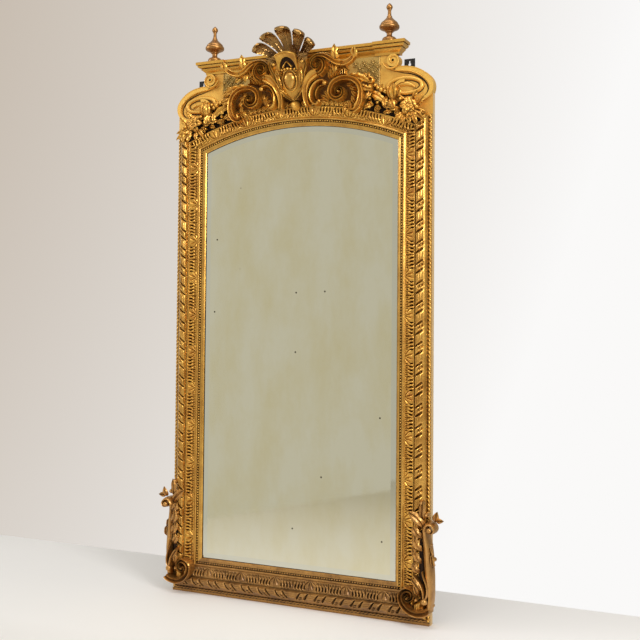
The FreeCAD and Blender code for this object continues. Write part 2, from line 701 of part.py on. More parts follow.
def shoulder_scroll():
    """Field, S-shaped band and flattened volute on the right shoulder."""
    front = BOARD_FRONT - FIELD_T
    out = FRAME_HALF - SIGHT_HALF
    corner = SPRING_Z + MITRE_RISE * out
    side = SIGHT_HALF + LEAF_OUT
    low = [(side, SPRING_Z + MITRE_RISE * LEAF_OUT), (FRAME_HALF, corner), (FRAME_HALF, CREST_Z)]
    rest = lines([(NECK_X, CORNICE_Z), (FIELD_IN, CORNICE_Z), (FIELD_IN, arch_z(LEAF_OUT, FIELD_IN))])
    edges = shoulder_edges() + lines(low) + rest + [arc(LEAF_OUT, FIELD_IN, side)]
    field = slab(closed_face(edges), front, BOARD_FRONT)
    swell = FRAME_HALF + SHOULDER_OUT
    inset = BAND_W / 2.0 + 0.5
    turn = swell - inset
    path = [(NECK_X + 20, NOTCH_Z - inset), (NOTCH_X + 16, NOTCH_Z - inset - 3), (turn - 74, CREST_Z + 93),
            (turn - 45, CREST_Z + 80), (turn - 18, CREST_Z + 59), (turn - 1, CREST_Z + 32),
            (turn - 4, CREST_Z + 3), (turn - 27, CREST_Z - 19), (turn - 70, CREST_Z - 25),
            (turn - 120, CREST_Z - 18), (turn - 150, CREST_Z + 8), (turn - 140, CREST_Z + 40),
            (turn - 105, CREST_Z + 52)]
    ribbon = scroll_band(path, BAND_W, BAND_W - 4, front, front - BAND_H, 8)
    roll = disc(VOLUTE_X, VOLUTE_Z, VOLUTE_R, BOARD_FRONT - VOLUTE_H, BOARD_FRONT)
    roll = roll.cut(disc(VOLUTE_X, VOLUTE_Z, VOLUTE_EYE_R, BOARD_FRONT - VOLUTE_H - 1, BOARD_FRONT - 4))
    return joined([field, ribbon, roll])


def diaper_panel():
    """Trellis panel on the right, between the upper scroll and the shoulder field."""
    wide = FIELD_IN - DIAPER_IN
    high = DIAPER_LOW - DIAPER_CORNER_Z
    points = [(DIAPER_IN, DIAPER_LOW), (DIAPER_IN, CORNICE_Z), (FIELD_IN, CORNICE_Z),
              (FIELD_IN, DIAPER_CORNER_Z), (FIELD_IN - 0.31 * wide, DIAPER_CORNER_Z + 0.38 * high),
              (FIELD_IN - 0.59 * wide, DIAPER_CORNER_Z + 0.93 * high)]
    return slab(polygon(points), BOARD_FRONT - FIELD_T, BOARD_FRONT)


def c_scroll():
    """Large C scroll on the right, with a pad to the board behind its eye and behind its foot."""
    eye = (C_EYE_X, C_EYE_Z)
    path = spiral(eye, C_REACH, C_GROWTH, -42, 400, 20)
    ribbon = scroll_band(path, C_BAND_W, 0.4 * C_BAND_W, C_BACK, C_FRONT, 8)
    knob = disc(eye[0], eye[1], PAD_R, C_FRONT - 2, BOARD_FRONT)
    heel = path[2]
    pad = disc(heel[0], heel[1], 7.0, C_BACK - 2, BOARD_FRONT)
    tip = leaf((path[1][0] - 4, path[1][1]), 68, 48, 20, C_BACK, C_FRONT - 6)
    return joined([ribbon, knob, tip, pad])


def small_scroll():
    """Small C scroll on the right that opens outward, with a knob at its upper end."""
    eye = (SMALL_X, SMALL_Z)
    path = spiral(eye, SMALL_R, 0.0, 58, 292, 14)
    ribbon = scroll_band(path, 0.8 * SMALL_BAND_W, SMALL_BAND_W, C_BACK, SMALL_FRONT, 4)
    end = path[0]
    knob = disc(end[0], end[1], 9.0, SMALL_FRONT, C_BACK)
    pad = disc(eye[0] - SMALL_R, eye[1], 5.5, C_BACK - 2, BOARD_FRONT)
    return joined([ribbon, knob, pad])


def upper_scroll():
    """Upper scroll on the right: a volute, and a leaf that arches over it to two upturned tips."""
    eye = (UPPER_EYE_X, UPPER_EYE_Z)
    path = spiral(eye, UPPER_REACH, UPPER_GROWTH, -70, 400, 20)
    ribbon = scroll_band(path, UPPER_BAND_W, 0.5 * UPPER_BAND_W, UPPER_BACK, UPPER_FRONT, 7)
    knob = disc(eye[0], eye[1], PAD_R, UPPER_FRONT - 2, BOARD_FRONT)
    arch = [(eye[0] - 25, eye[1] + 14), (eye[0] - 14, eye[1] + 36), (eye[0] + 20, eye[1] + 46),
            (eye[0] + 58, eye[1] + 26), (eye[0] + 96, eye[1] + 8)]
    over = slab(band_face(arch, 8.0, 22.0, 3), UPPER_FRONT + 4, UPPER_BACK)
    spur = [(eye[0] + 80, eye[1] + 12), (eye[0] + 112, eye[1] + 10), (eye[0] + 146, eye[1] + 22),
            (eye[0] + 164, eye[1] + 42)]
    tail = slab(band_face(spur, 24.0, 10.0, 2), UPPER_FRONT + 6, UPPER_BACK)
    tip = leaf((eye[0] + 76, eye[1] + 14), 86, 56, 20, UPPER_BACK, UPPER_FRONT - 20)
    pad = disc(eye[0] + 84, eye[1] + 10, 8.0, UPPER_BACK - 2, BOARD_FRONT)
    return joined([ribbon, knob, over, tail, tip, pad])


def arch_spray():
    """Low strip of leaves that lies along the arch on the right."""
    inner = arc(LEAF_OUT, SPRAY_IN, SPRAY_OUT)
    outer = arc(LEAF_OUT + SPRAY_W, SPRAY_IN, SPRAY_OUT)
    ends = [Part.makeLine(inner.Vertexes[i].Point, outer.Vertexes[i].Point) for i in (0, -1)]
    return slab(closed_face([inner, outer] + ends), BOARD_FRONT - SPRAY_H, BOARD_FRONT)


def garland():
    """Leaves and flowers on the right, from beside the C scroll down to the corner of the frame."""
    back = BOARD_FRONT - FIELD_T
    front = back - GARLAND_H
    side = FRAME_HALF
    stem = [(side - 250, CREST_Z + 54), (side - 212, CREST_Z + 36), (side - 172, CREST_Z + 16),
            (side - 132, CREST_Z), (side - 104, CREST_Z - 20), (side - 82, CREST_Z - 47),
            (side - 54, CREST_Z - 66), (side - 22, CREST_Z - 76)]
    pieces = [slab(band_face(stem, GARLAND_W, GARLAND_W, 4), front, back)]
    turns = (65, -100, 48, -110, 95, -120, 15, -60)
    for root, turn in zip(stem, turns):
        pieces.append(leaf(root, turn, GARLAND_LEAF_L, GARLAND_LEAF_W, back, front - 4))
    rose = ((stem[3][0] + stem[4][0]) / 2.0, stem[3][1])
    pieces.append(disc(rose[0], rose[1], ROSE_R, back - ROSE_H, back))
    pieces.append(disc(stem[5][0], stem[5][1], BLOOM_R, back - BLOOM_H, back))
    return joined(pieces)


# Cartouche and plumes

def leaning(shape):
    """Tip a piece that was drawn upright forward onto the wedge."""
    tipped = shape.copy()
    tipped.translate(Vec(0, CORE_FOOT, CORE_LOW))
    tipped.rotate(Vec(0, CORE_FOOT, CORE_LOW), Vec(1, 0, 0), LEAN)
    return tipped


def crest_core():
    """Wedge-shaped block behind the cartouche."""
    side = [Vec(-CORE_HALF, y, z) for y, z in ((BOARD_FRONT, CORE_LOW), (CORE_FOOT, CORE_LOW),
                                              (CORE_HEAD, CORE_HIGH), (BOARD_FRONT, CORE_HIGH))]
    wedge = Part.Face(Part.makePolygon(side + side[:1])).extrude(Vec(2 * CORE_HALF, 0, 0))
    waist = (CORE_LOW + CORE_HIGH) / 2.0
    half = 0.4 * CORE_HALF
    taper = polygon([(-half, CORE_LOW), (half, CORE_LOW), (CORE_HALF, waist), (CORE_HALF, CORE_HIGH),
                     (-CORE_HALF, CORE_HIGH), (-CORE_HALF, waist)])
    return wedge.common(slab(taper, CORE_HEAD - 1, BOARD_FRONT))


def shield_face():
    """Outline of the shield on its own plane, foot at zero."""
    w = SHIELD_HALF
    h = SHIELD_H
    right = [(0, 0), (0.44 * w, 0.13 * h), (0.74 * w, 0.35 * h), (0.93 * w, 0.62 * h), (w, 0.84 * h),
             (0.8 * w, h)]
    left = [(-x, z) for x, z in right]
    return closed_face(curve(right, 3) + curve(left, 3) + lines([right[-1], left[-1]]))


def cartouche_shield():
    """Shield with a diadem over it and a round socket behind for the plumes."""
    plate = slab(shield_face(), -SHIELD_T, 0)
    low = SHIELD_H - 26
    high = SHIELD_H + DIADEM_H - 14
    brow = Part.Arc(at(DIADEM_HALF, high), at(0, high + 14), at(-DIADEM_HALF, high)).toShape()
    sides = lines([(-DIADEM_HALF, high), (-0.8 * DIADEM_HALF, low), (0.8 * DIADEM_HALF, low),
                   (DIADEM_HALF, high)])
    diadem = slab(closed_face([brow] + sides), -SHIELD_T - DIADEM_T, 0)
    socket = disc(0, SOCKET_UP, SOCKET_R, -1, SOCKET_T)
    return leaning(joined([plate, diadem, socket]))


def cabochon():
    """Plain oval boss in the middle of the shield."""
    return leaning(cushion(0, CABOCHON_UP, CABOCHON_RX, CABOCHON_RZ, CABOCHON_H, -SHIELD_T))


def plume(angle, length, width):
    """A feather that rises from the socket and curls forward: its side view cut to a fan-shaped front."""
    start = SOCKET_R - 4
    curl = [(start, 0), (0.5 * length, 0.02 * PLUME_FORWARD), (0.8 * length, 0.22 * PLUME_FORWARD),
            (0.97 * length, 0.6 * PLUME_FORWARD), (length, PLUME_FORWARD)]
    side = slab(band_face(curl, PLUME_T, 0.5 * PLUME_T, 2), -width, width)
    side.rotate(Vec(0, 0, 0), Vec(1, 0, 0), 90)
    edge = [(start, 0.5 * PLUME_ROOT_W), (0.5 * length, 0.28 * width), (0.78 * length, 0.5 * width)]
    below = [(u, -v) for u, v in reversed(edge)]
    tip = chain([at(*edge[-1]), at(length + PLUME_T, 0), at(*below[0])])
    outline = lines(edge) + tip + lines(below) + lines([below[-1], edge[0]])
    fan = slab(closed_face(outline), -2 * PLUME_FORWARD, width)
    feather = side.common(fan)
    feather.rotate(Vec(0, 0, 0), Vec(0, 1, 0), -angle)
    feather.translate(Vec(0, SOCKET_T / 2.0, SOCKET_UP))
    return largest(leaning(feather.cut(disc(0, SOCKET_UP, SOCKET_R, -60, 60))))


# Lower brackets

def bracket():
    """Scrolled leaf bracket over the right lower corner."""
    eye = (BRACKET_EYE_X, BRACKET_EYE_Z)
    r = BRACKET_REACH
    turns = [(1.8, 0.1), (1.5, -1.0), (0.85, -1.62), (0.1, -1.75), (-0.62, -1.4), (-1.0, -0.6),
             (-0.92, 0.2), (-0.4, 0.75), (0.25, 0.7), (0.58, 0.15), (0.4, -0.4), (-0.1, -0.45)]
    path = [(eye[0] + u * r, eye[1] + v * r) for u, v in turns]
    ribbon = scroll_band(path, BRACKET_BAND_W + 4, 0.5 * BRACKET_BAND_W, BOARD_FRONT, BRACKET_FRONT, 7)
    knob = disc(eye[0], eye[1], PAD_R, BRACKET_FRONT, BOARD_FRONT)
    out = FRAME_HALF + BRACKET_OUT
    top = BRACKET_TOP
    outer = [(FRAME_HALF - 6, 0.135 * top), (out - 2, 0.325 * top), (out, 0.56 * top),
             (out - 6, 0.735 * top), (FRAME_HALF + 4, top)]
    inner = [(FRAME_HALF - 36, 0.175 * top), (out - BRACKET_BODY_W + 8, 0.355 * top),
             (out - BRACKET_BODY_W, 0.56 * top), (out - BRACKET_BODY_W - 2, 0.735 * top),
             (FRAME_HALF - 26, top)]
    ends = lines([outer[0], inner[0]]) + lines([outer[-1], inner[-1]])
    body = slab(closed_face(curve(outer) + curve(inner) + ends), BRACKET_FRONT + 8, BOARD_FRONT)
    curl = disc(FRAME_HALF + 10, BRACKET_TOP, BRACKET_CURL_R, BRACKET_FRONT, BOARD_FRONT)
    leaves = [leaf((FRAME_HALF + 2, BRACKET_TOP + 4), 82, 78, 24, BOARD_FRONT, BRACKET_FRONT + 12),
              leaf((FRAME_HALF - 10, BRACKET_TOP), 104, 110, 24, BOARD_FRONT, BRACKET_FRONT + 12),
              leaf((FRAME_HALF + 6, BRACKET_TOP + 8), 52, 62, 20, BOARD_FRONT, BRACKET_FRONT + 14)]
    buds = [disc(FRAME_HALF + 16, 0.182 * top, 15.0, BOARD_FRONT - 44.0, BOARD_FRONT),
            disc(FRAME_HALF + 14, 0.724 * top, 14.0, BOARD_FRONT - 40.0, BOARD_FRONT)]
    return joined([ribbon, knob, body, curl] + leaves + buds)


# Assembly

def add_pair(parts, name, right):
    """Enter a right-hand piece and its mirror image."""
    parts[name + "_right"] = right
    parts[name + "_left"] = mirrored(right)


def main():
    """Build every piece and write it."""
    os.makedirs("parts", exist_ok=True)
    parts = {}
    parts.update(frame_boards())
    parts.update(mouldings())
    parts.update(backboards())
    parts.update(back_frame())
    parts.update(cornice())
    parts["crest_board"] = crest_board()
    parts["mirror_plate"] = mirror_plate()
    parts["glazing_blocks"] = glazing_blocks()
    add_pair(parts, "finial", finial())
    add_pair(parts, "shoulder_scroll", shoulder_scroll())
    add_pair(parts, "diaper_panel", diaper_panel())
    under_arch = disc(0, ARCH_CZ, ARCH_R + LEAF_OUT, BRACKET_FRONT - FRAME_HALF, BOARD_BACK)
    cover = cover_section()
    upright = moulding_side(cover)
    ground = [parts["shoulder_scroll_right"], parts["diaper_panel_right"]]
    add_pair(parts, "c_scroll", largest(c_scroll().cut([under_arch] + ground)))
    add_pair(parts, "small_scroll", largest(small_scroll().cut(under_arch)))
    add_pair(parts, "upper_scroll", largest(upper_scroll().cut(ground)))
    add_pair(parts, "arch_spray", arch_spray())
    near = [upright, under_arch, parts["shoulder_scroll_right"], parts["c_scroll_right"]]
    add_pair(parts, "garland", largest(garland().cut(near)))
    foot = [upright, moulding_bottom(cover), parts["bottom_rail"]]
    add_pair(parts, "corner_bracket", largest(bracket().cut(foot)))
    parts["crest_core"] = crest_core()
    parts["cartouche_shield"] = cartouche_shield()
    parts["cartouche_cabochon"] = cabochon()
    boss = cushion(0, BOSS_Z, BOSS_RX, BOSS_RZ, BOSS_H, BOARD_FRONT)
    over_arch = [parts["leaf_moulding_arch"], parts["sight_moulding_arch"]]
    parts["pendant_boss"] = largest(boss.cut(over_arch))
    parts["plume_centre"] = plume(*PLUME_CENTRE)
    add_pair(parts, "plume_inner", plume(*PLUME_INNER))
    add_pair(parts, "plume_outer", plume(*PLUME_OUTER))
    add_pair(parts, "hanger_plate", hanger_plate())
    for name, shape in parts.items():
        export(shape, name)


main()
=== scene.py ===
"""Looks of a tall floor mirror in a carved and gilded frame.

All shapes are drawn in millimetres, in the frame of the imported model: X to the right, front toward -Y, Z up.
"""

import logging
import math
from dataclasses import dataclass, field
from enum import Enum
from typing import Callable, Sequence

import bmesh
import bpy
import numpy as np
from mathutils import Matrix, Vector


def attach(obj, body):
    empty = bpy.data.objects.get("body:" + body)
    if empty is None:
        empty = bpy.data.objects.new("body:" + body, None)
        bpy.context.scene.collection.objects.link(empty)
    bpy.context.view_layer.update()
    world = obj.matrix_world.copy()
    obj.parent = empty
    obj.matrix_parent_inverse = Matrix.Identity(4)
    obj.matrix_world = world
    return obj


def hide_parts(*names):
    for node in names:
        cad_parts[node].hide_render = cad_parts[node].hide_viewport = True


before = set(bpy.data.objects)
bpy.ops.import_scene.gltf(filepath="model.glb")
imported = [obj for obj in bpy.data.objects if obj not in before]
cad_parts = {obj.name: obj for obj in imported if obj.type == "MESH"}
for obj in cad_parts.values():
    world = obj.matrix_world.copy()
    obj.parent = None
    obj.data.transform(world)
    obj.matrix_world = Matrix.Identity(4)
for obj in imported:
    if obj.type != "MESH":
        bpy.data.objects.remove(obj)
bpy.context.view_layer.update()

LOG = logging.getLogger("floor_mirror")
MM = 0.001
FORWARD = np.array([0.0, -1.0, 0.0])

# Sizes that the carved pieces share with the wooden frame, in millimetres
SIGHT_HALF = 415.0
SIGHT_BOTTOM = 142.0
SPRING_Z = 1784.0
ARCH_RISE = 80.0
ARCH_R = (SIGHT_HALF ** 2 + ARCH_RISE ** 2) / (2.0 * ARCH_RISE)
ARCH_CZ = SPRING_Z + ARCH_RISE - ARCH_R
BOARD_FRONT = -20.0
SIGHT_OUT = 34.0
LEAF_OUT = 73.0
RIBBON_OUT = 119.0
ROPE_R = 6.5
CORNICE_Z = 2107.0
MITRE_TOP = ARCH_CZ + math.sqrt((ARCH_R + LEAF_OUT) ** 2 - (SIGHT_HALF + LEAF_OUT) ** 2)
MITRE_RISE = (MITRE_TOP - SPRING_Z) / LEAF_OUT
# Offset of the line along which the patterns are spaced over the arch
PATTERN_OUT = 50.0


class Side(Enum):
    """The two halves of the frame, as the viewer sees them."""

    RIGHT = 1.0
    LEFT = -1.0

    @property
    def suffix(self) -> str:
        """Ending of a piece's name."""
        return self.name.lower()


class Run(Enum):
    """The four lengths of a moulding."""

    RIGHT = "right"
    LEFT = "left"
    BOTTOM = "bottom"
    ARCH = "arch"


# Curves and shells


def smooth(points: Sequence[Sequence[float]], count: int) -> np.ndarray:
    """Carry a smooth line through points and space it evenly.

    Args:
        points: Places that the line passes through, in any number of coordinates.
        count: How many places to give back.

    Returns:
        An array with one row for each place.
    """
    knots = np.asarray(points, float)
    gaps = np.sqrt(np.linalg.norm(np.diff(knots, axis=0), axis=1))
    t = np.concatenate([[0.0], np.cumsum(np.maximum(gaps, 1e-6))])
    slope = np.gradient(knots, t, axis=0)
    fine = np.linspace(0.0, t[-1], 40 * len(knots))
    i = np.clip(np.searchsorted(t, fine, side="right") - 1, 0, len(t) - 2)
    span = (t[i + 1] - t[i])[:, None]
    u = ((fine - t[i])[:, None]) / span
    line = ((1 + 2 * u) * (1 - u) ** 2 * knots[i] + u * (1 - u) ** 2 * span * slope[i]
            + u ** 2 * (3 - 2 * u) * knots[i + 1] + u ** 2 * (u - 1) * span * slope[i + 1])
    run = np.concatenate([[0.0], np.cumsum(np.linalg.norm(np.diff(line, axis=0), axis=1))])
    even = np.linspace(0.0, run[-1], count)
    return np.stack([np.interp(even, run, line[:, k]) for k in range(line.shape[1])], axis=1)


def flat_path(points: Sequence[Sequence[float]], depth: float, count: int) -> np.ndarray:
    """Carry a smooth line through front-view points at one depth.

    Args:
        points: Front-view places (x, z).
        depth: Y of the line.
        count: How many places to give back.

    Returns:
        Rows of x, y, z.
    """
    line = smooth(points, count)
    return np.stack([line[:, 0], np.full(count, depth), line[:, 1]], axis=1)


def spiral(eye: tuple[float, float], reach: float, growth: float, start: float, stop: float,
           count: int) -> np.ndarray:
    """Points of a scroll that winds in to its eye.

    Args:
        eye: Front-view place of the eye.
        reach: Radius at angle zero.
        growth: How fast the radius shrinks with the angle.
        start: Angle of the outer end in degrees.
        stop: Angle of the inner end in degrees.
        count: How many points.

    Returns:
        Rows of x, z.
    """
    angle = np.radians(np.linspace(start, stop, count))
    radius = reach * np.exp(-growth * angle)
    return np.stack([eye[0] + radius * np.cos(angle), eye[1] + radius * np.sin(angle)], axis=1)


def taper(start: float, end: float, count: int, swell: float = 0.0) -> np.ndarray:
    """Sizes that change evenly along a path, with a swell in the middle."""
    u = np.linspace(0.0, 1.0, count)
    return start + (end - start) * u + swell * np.sin(math.pi * u)


def half_round(count: int) -> np.ndarray:
    """Section of a plain roll: across from 1 to -1, forward up to 1."""
    turn = np.linspace(0.0, math.pi, count)
    return np.stack([np.cos(turn), np.sin(turn)], axis=1)


ROLL = half_round(11)
CHANNEL = np.array([(1, 0), (1, .62), (.95, .84), (.82, .98), (.68, .96), (.56, .8), (.42, .62), (.2, .56),
                    (.08, .66), (-.08, .66), (-.2, .56), (-.42, .62), (-.56, .8), (-.68, .96), (-.82, .98),
                    (-.95, .84), (-1, .62), (-1, 0)])
TWIN = np.array([(1, 0), (1, .55), (.96, .78), (.86, .93), (.7, 1), (.52, .95), (.36, .82), (.2, .72),
                 (0, .68), (-.2, .72), (-.36, .82), (-.52, .95), (-.7, 1), (-.86, .93), (-.96, .78),
                 (-1, .55), (-1, 0)])


def sweep(path: np.ndarray, width: np.ndarray, height: np.ndarray, section: np.ndarray) -> np.ndarray:
    """Carry a section along a path that faces the viewer.

    Args:
        path: Rows of x, y, z along the foot of the section.
        width: Half width at each row.
        height: Height toward the viewer at each row.
        section: Rows of (across, forward), each in units of the half width and the height.

    Returns:
        Closed rings, one for each row of the path.
    """
    along = np.gradient(path, axis=0)
    across = np.stack([along[:, 2], np.zeros(len(path)), -along[:, 0]], axis=1)
    across /= np.maximum(np.linalg.norm(across, axis=1, keepdims=True), 1e-9)
    side = section[None, :, 0, None] * width[:, None, None] * across[:, None, :]
    rise = section[None, :, 1, None] * height[:, None, None] * FORWARD
    return path[:, None, :] + side + rise


def dome(x: float, z: float, depth: float, rx: float, rz: float, height: float, seats: int = 7,
         round_by: int = 18) -> np.ndarray:
    """A rounded boss on the front view.

    Args:
        x: Front-view place.
        z: Front-view place.
        depth: Y of its foot.
        rx: Half width.
        rz: Half height.
        height: How far it stands toward the viewer.
        seats: Rings from foot to crown.
        round_by: Points on a ring.

    Returns:
        Closed rings from the foot to the crown.
    """
    turn = np.linspace(0.0, 2.0 * math.pi, round_by, endpoint=False)
    lift = np.linspace(0.0, 0.5 * math.pi, seats)
    lift[-1] = 0.5 * math.pi - 0.02
    rings = np.empty((seats, round_by, 3))
    rings[:, :, 0] = x + rx * np.cos(lift)[:, None] * np.cos(turn)
    rings[:, :, 2] = z + rz * np.cos(lift)[:, None] * np.sin(turn)
    rings[:, :, 1] = depth - height * np.sin(lift)[:, None]
    return rings


def ball(centre: Sequence[float], radius: float, round_by: int = 16) -> np.ndarray:
    """A whole ball as closed rings along X.

    Args:
        centre: Middle of the ball.
        radius: Its radius.
        round_by: Points in each ring.

    Returns:
        The rings.
    """
    turn = np.linspace(0.0, 2.0 * math.pi, round_by, endpoint=False)
    lift = np.linspace(-0.48 * math.pi, 0.48 * math.pi, 9)
    rings = np.empty((len(lift), round_by, 3))
    rings[:, :, 0] = centre[0] + radius * np.sin(lift)[:, None]
    rings[:, :, 1] = centre[1] + radius * np.cos(lift)[:, None] * np.cos(turn)
    rings[:, :, 2] = centre[2] + radius * np.cos(lift)[:, None] * np.sin(turn)
    return rings


def lathe(x: float, y: float, z: float, outline: Sequence[tuple[float, float]], round_by: int) -> np.ndarray:
    """Turn an outline of (radius, height) about an upright axis.

    Args:
        x: X of the axis.
        y: Y of the axis.
        z: Height of the foot.
        outline: Radius and height of each ring, from the foot up.
        round_by: Points in each ring.

    Returns:
        The rings.
    """
    turn = np.linspace(0.0, 2.0 * math.pi, round_by, endpoint=False)
    shape = np.asarray(outline, float)
    rings = np.empty((len(shape), round_by, 3))
    rings[:, :, 0] = x + shape[:, 0, None] * np.cos(turn)
    rings[:, :, 1] = y + shape[:, 0, None] * np.sin(turn)
    rings[:, :, 2] = z + shape[:, 1, None]
    return rings


@dataclass(frozen=True)
class LeafCut:
    """How a carved leaf is cut.

    Attributes:
        lobes: Lobes along each edge.
        notch: Depth of the notches between the lobes, as a share of the width.
        thick: Thickness in millimetres.
        lift: How far the middle of the leaf stands off its ground.
        tip: How far the tip curls toward the viewer.
        bend: Turn of the spine from root to tip in degrees.
        full: Where the leaf is widest, from 0 at the root to 1 at the tip.
    """

    lobes: int = 3
    notch: float = 0.28
    thick: float = 6.0
    lift: float = 8.0
    tip: float = 4.0
    bend: float = 0.0
    full: float = 0.42


def leaf(root: Sequence[float], angle: float, length: float, width: float, depth: float,
         cut: LeafCut = LeafCut()) -> np.ndarray:
    """A carved leaf with a hollow along its spine and lobed edges.

    Args:
        root: Front-view place of the root (x, z).
        angle: Direction of the spine at the root in degrees.
        length: Length along the spine.
        width: Widest width.
        depth: Y of the ground under the root.
        cut: How the leaf is cut.

    Returns:
        Closed rings from root to tip.
    """
    steps = max(14, 8 * cut.lobes + 6)
    u = np.linspace(0.0, 1.0, steps)
    heading = np.radians(angle + cut.bend * u)
    stride = length / (steps - 1)
    x = root[0] + np.concatenate([[0.0], np.cumsum(np.cos(heading[:-1]))]) * stride
    z = root[1] + np.concatenate([[0.0], np.cumsum(np.sin(heading[:-1]))]) * stride
    power = math.log(0.5) / math.log(cut.full)
    body = np.sin(math.pi * np.clip(u, 0.02, 0.985) ** power) ** 0.75
    y = depth - cut.lift * np.sin(0.8 * math.pi * u) - cut.tip * u ** 3
    wave = 0.5 + 0.5 * np.cos(2.0 * math.pi * cut.lobes * u)
    edge = 1.0 - cut.notch * wave if cut.lobes else np.ones(steps)
    half = 0.5 * width * np.maximum(body * edge, 0.06)
    v = np.linspace(-1.0, 1.0, 11)
    front = 0.28 + 0.72 * np.exp(-((np.abs(v) - 0.5) / 0.3) ** 2)
    flute = np.cos(2.0 * math.pi * cut.lobes * u[:, None] - 2.4 * np.abs(v)) * np.abs(v) if cut.lobes else 0.0
    rise = cut.thick * (front[None, :] - 0.24 * flute) * (0.35 + 0.65 * body[:, None])
    under = np.array([0.7, 0.0, -0.7])
    across = np.concatenate([v, under])
    height = np.concatenate([rise, np.repeat(-0.25 * cut.thick * body[:, None], 3, axis=1)], axis=1)
    normal = np.stack([-np.sin(heading), np.zeros(steps), np.cos(heading)], axis=1)
    spine = np.stack([x, y, z], axis=1)
    rings = spine[:, None, :] + normal[:, None, :] * (half[:, None] * across)[:, :, None]
    return rings + height[:, :, None] * FORWARD


@dataclass
class Carving:
    """The shells of one piece, in millimetres."""

    points: list[np.ndarray] = field(default_factory=list)
    faces: list[list[int]] = field(default_factory=list)
    count: int = 0

    def shell(self, rings: np.ndarray, hoop: bool = False) -> "Carving":
        """Skin a stack of closed rings.

        Args:
            rings: Array of rings, points and coordinates.
            hoop: Whether the last ring joins the first; otherwise both ends are capped.

        Returns:
            This carving.
        """
        n, m = rings.shape[:2]
        start = self.count
        self.points.append(rings.reshape(-1, 3))
        self.count += n * m
        i = np.arange(n if hoop else n - 1)[:, None]
        j = np.arange(m)[None, :]
        onward = (i + 1) % n
        beside = (j + 1) % m
        quads = np.stack([start + i * m + j, start + i * m + beside, start + onward * m + beside,
                          start + onward * m + j], axis=-1)
        self.faces.extend(quads.reshape(-1, 4).tolist())
        if not hoop:
            for row in (0, n - 1):
                self.points.append(rings[row].mean(axis=0)[None, :])
                base = start + row * m
                fan = [[base + k, base + (k + 1) % m, self.count] for k in range(m)]
                self.faces.extend(fan if row else [f[::-1] for f in fan])
                self.count += 1
        return self

    def shells(self, many: Sequence[np.ndarray]) -> "Carving":
        """Skin several stacks of rings."""
        for rings in many:
            self.shell(rings)
        return self

    def rod(self, line: Sequence[Sequence[float]], depth: float, count: int, width: Sequence[float],
            height: Sequence[float], section: np.ndarray = ROLL) -> "Carving":
        """Carry a section along a front-view line at one depth.

        Args:
            line: Front-view places (x, z).
            depth: Y of the foot of the section.
            count: Stations along the line.
            width: Half width at the start and end, and its swell.
            height: Height at the start and end, and its swell.
            section: The section.

        Returns:
            This carving.
        """
        sizes = [taper(start, end, count, *swell) for start, end, *swell in (width, height)]
        return self.shell(sweep(flat_path(line, depth, count), *sizes, section))

    def leaf(self, root: Sequence[float], angle: float, length: float, width: float, depth: float,
             cut: LeafCut = LeafCut()) -> "Carving":
        """Add a leaf; the values are those of the function leaf."""
        return self.shell(leaf(root, angle, length, width, depth, cut))

    def dome(self, x: float, z: float, depth: float, rx: float, rz: float, height: float, seats: int = 7,
             round_by: int = 18) -> "Carving":
        """Add a boss; the values are those of the function dome."""
        return self.shell(dome(x, z, depth, rx, rz, height, seats, round_by))

    def moved(self, place: Callable[[np.ndarray], np.ndarray]) -> "Carving":
        """A copy whose points went through a change of place."""
        return Carving([place(p) for p in self.points], [list(f) for f in self.faces], self.count)

    def on(self, side: Side) -> "Carving":
        """The carving for one half of the frame, from the one drawn for the right."""
        return self.moved(lambda p: p * np.array([side.value, 1.0, 1.0]))

    def build(self, name: str, finish: bpy.types.Material, slot: str, stands_for: Sequence[str] = (),
              crease: float = 42.0) -> bpy.types.Object:
        """Make the piece and set it on the frame.

        Args:
            name: Name of the piece.
            finish: Its material.
            slot: The record's slot for it; not used.
            stands_for: CAD nodes that it replaces.
            crease: Angle in degrees over which an edge stays sharp.

        Returns:
            The new object.
        """
        mesh = bpy.data.meshes.new(name)
        mesh.from_pydata((np.concatenate(self.points) * MM).tolist(), [], self.faces)
        work = bmesh.new()
        work.from_mesh(mesh)
        bmesh.ops.remove_doubles(work, verts=work.verts, dist=0.01 * MM)
        bmesh.ops.recalc_face_normals(work, faces=work.faces)
        work.to_mesh(mesh)
        work.free()
        mesh.shade_smooth()
        mesh.set_sharp_from_angle(angle=math.radians(crease))
        mesh.materials.append(finish)
        piece = bpy.data.objects.new(name, mesh)
        bpy.context.scene.collection.objects.link(piece)
        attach(piece, "root")
        if stands_for:
            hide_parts(*stands_for)
        LOG.info("%s: %d faces", name, len(mesh.polygons))
        return piece

    def both(self, name: str, finish: bpy.types.Material, slot: str, stands_for: str = "",
             crease: float = 42.0) -> None:
        """Build the piece drawn for the right, and its mirror image.

        Args:
            name: First words of the names.
            finish: Their material.
            slot: The record's slot for them.
            stands_for: First words of the CAD nodes that they replace, if any.
            crease: Angle in degrees over which an edge stays sharp.
        """
        for side in Side:
            nodes = [f"{stands_for}_{side.suffix}"] if stands_for else []
            self.on(side).build(f"{name}_{side.suffix}", finish, slot, nodes, crease)


# Finishes


def linear(colour: str) -> tuple[float, float, float, float]:
    """Turn an sRGB hex colour into linear light."""
    parts = [int(colour[i:i + 2], 16) / 255.0 for i in (1, 3, 5)]
    flat = [c / 12.92 if c <= 0.04045 else ((c + 0.055) / 1.055) ** 2.4 for c in parts]
    return (flat[0], flat[1], flat[2], 1.0)


def per_mm(size: float) -> float:
    """Texture scale that gives a pattern of the given size in millimetres."""
    return 1.0 / (size * MM)


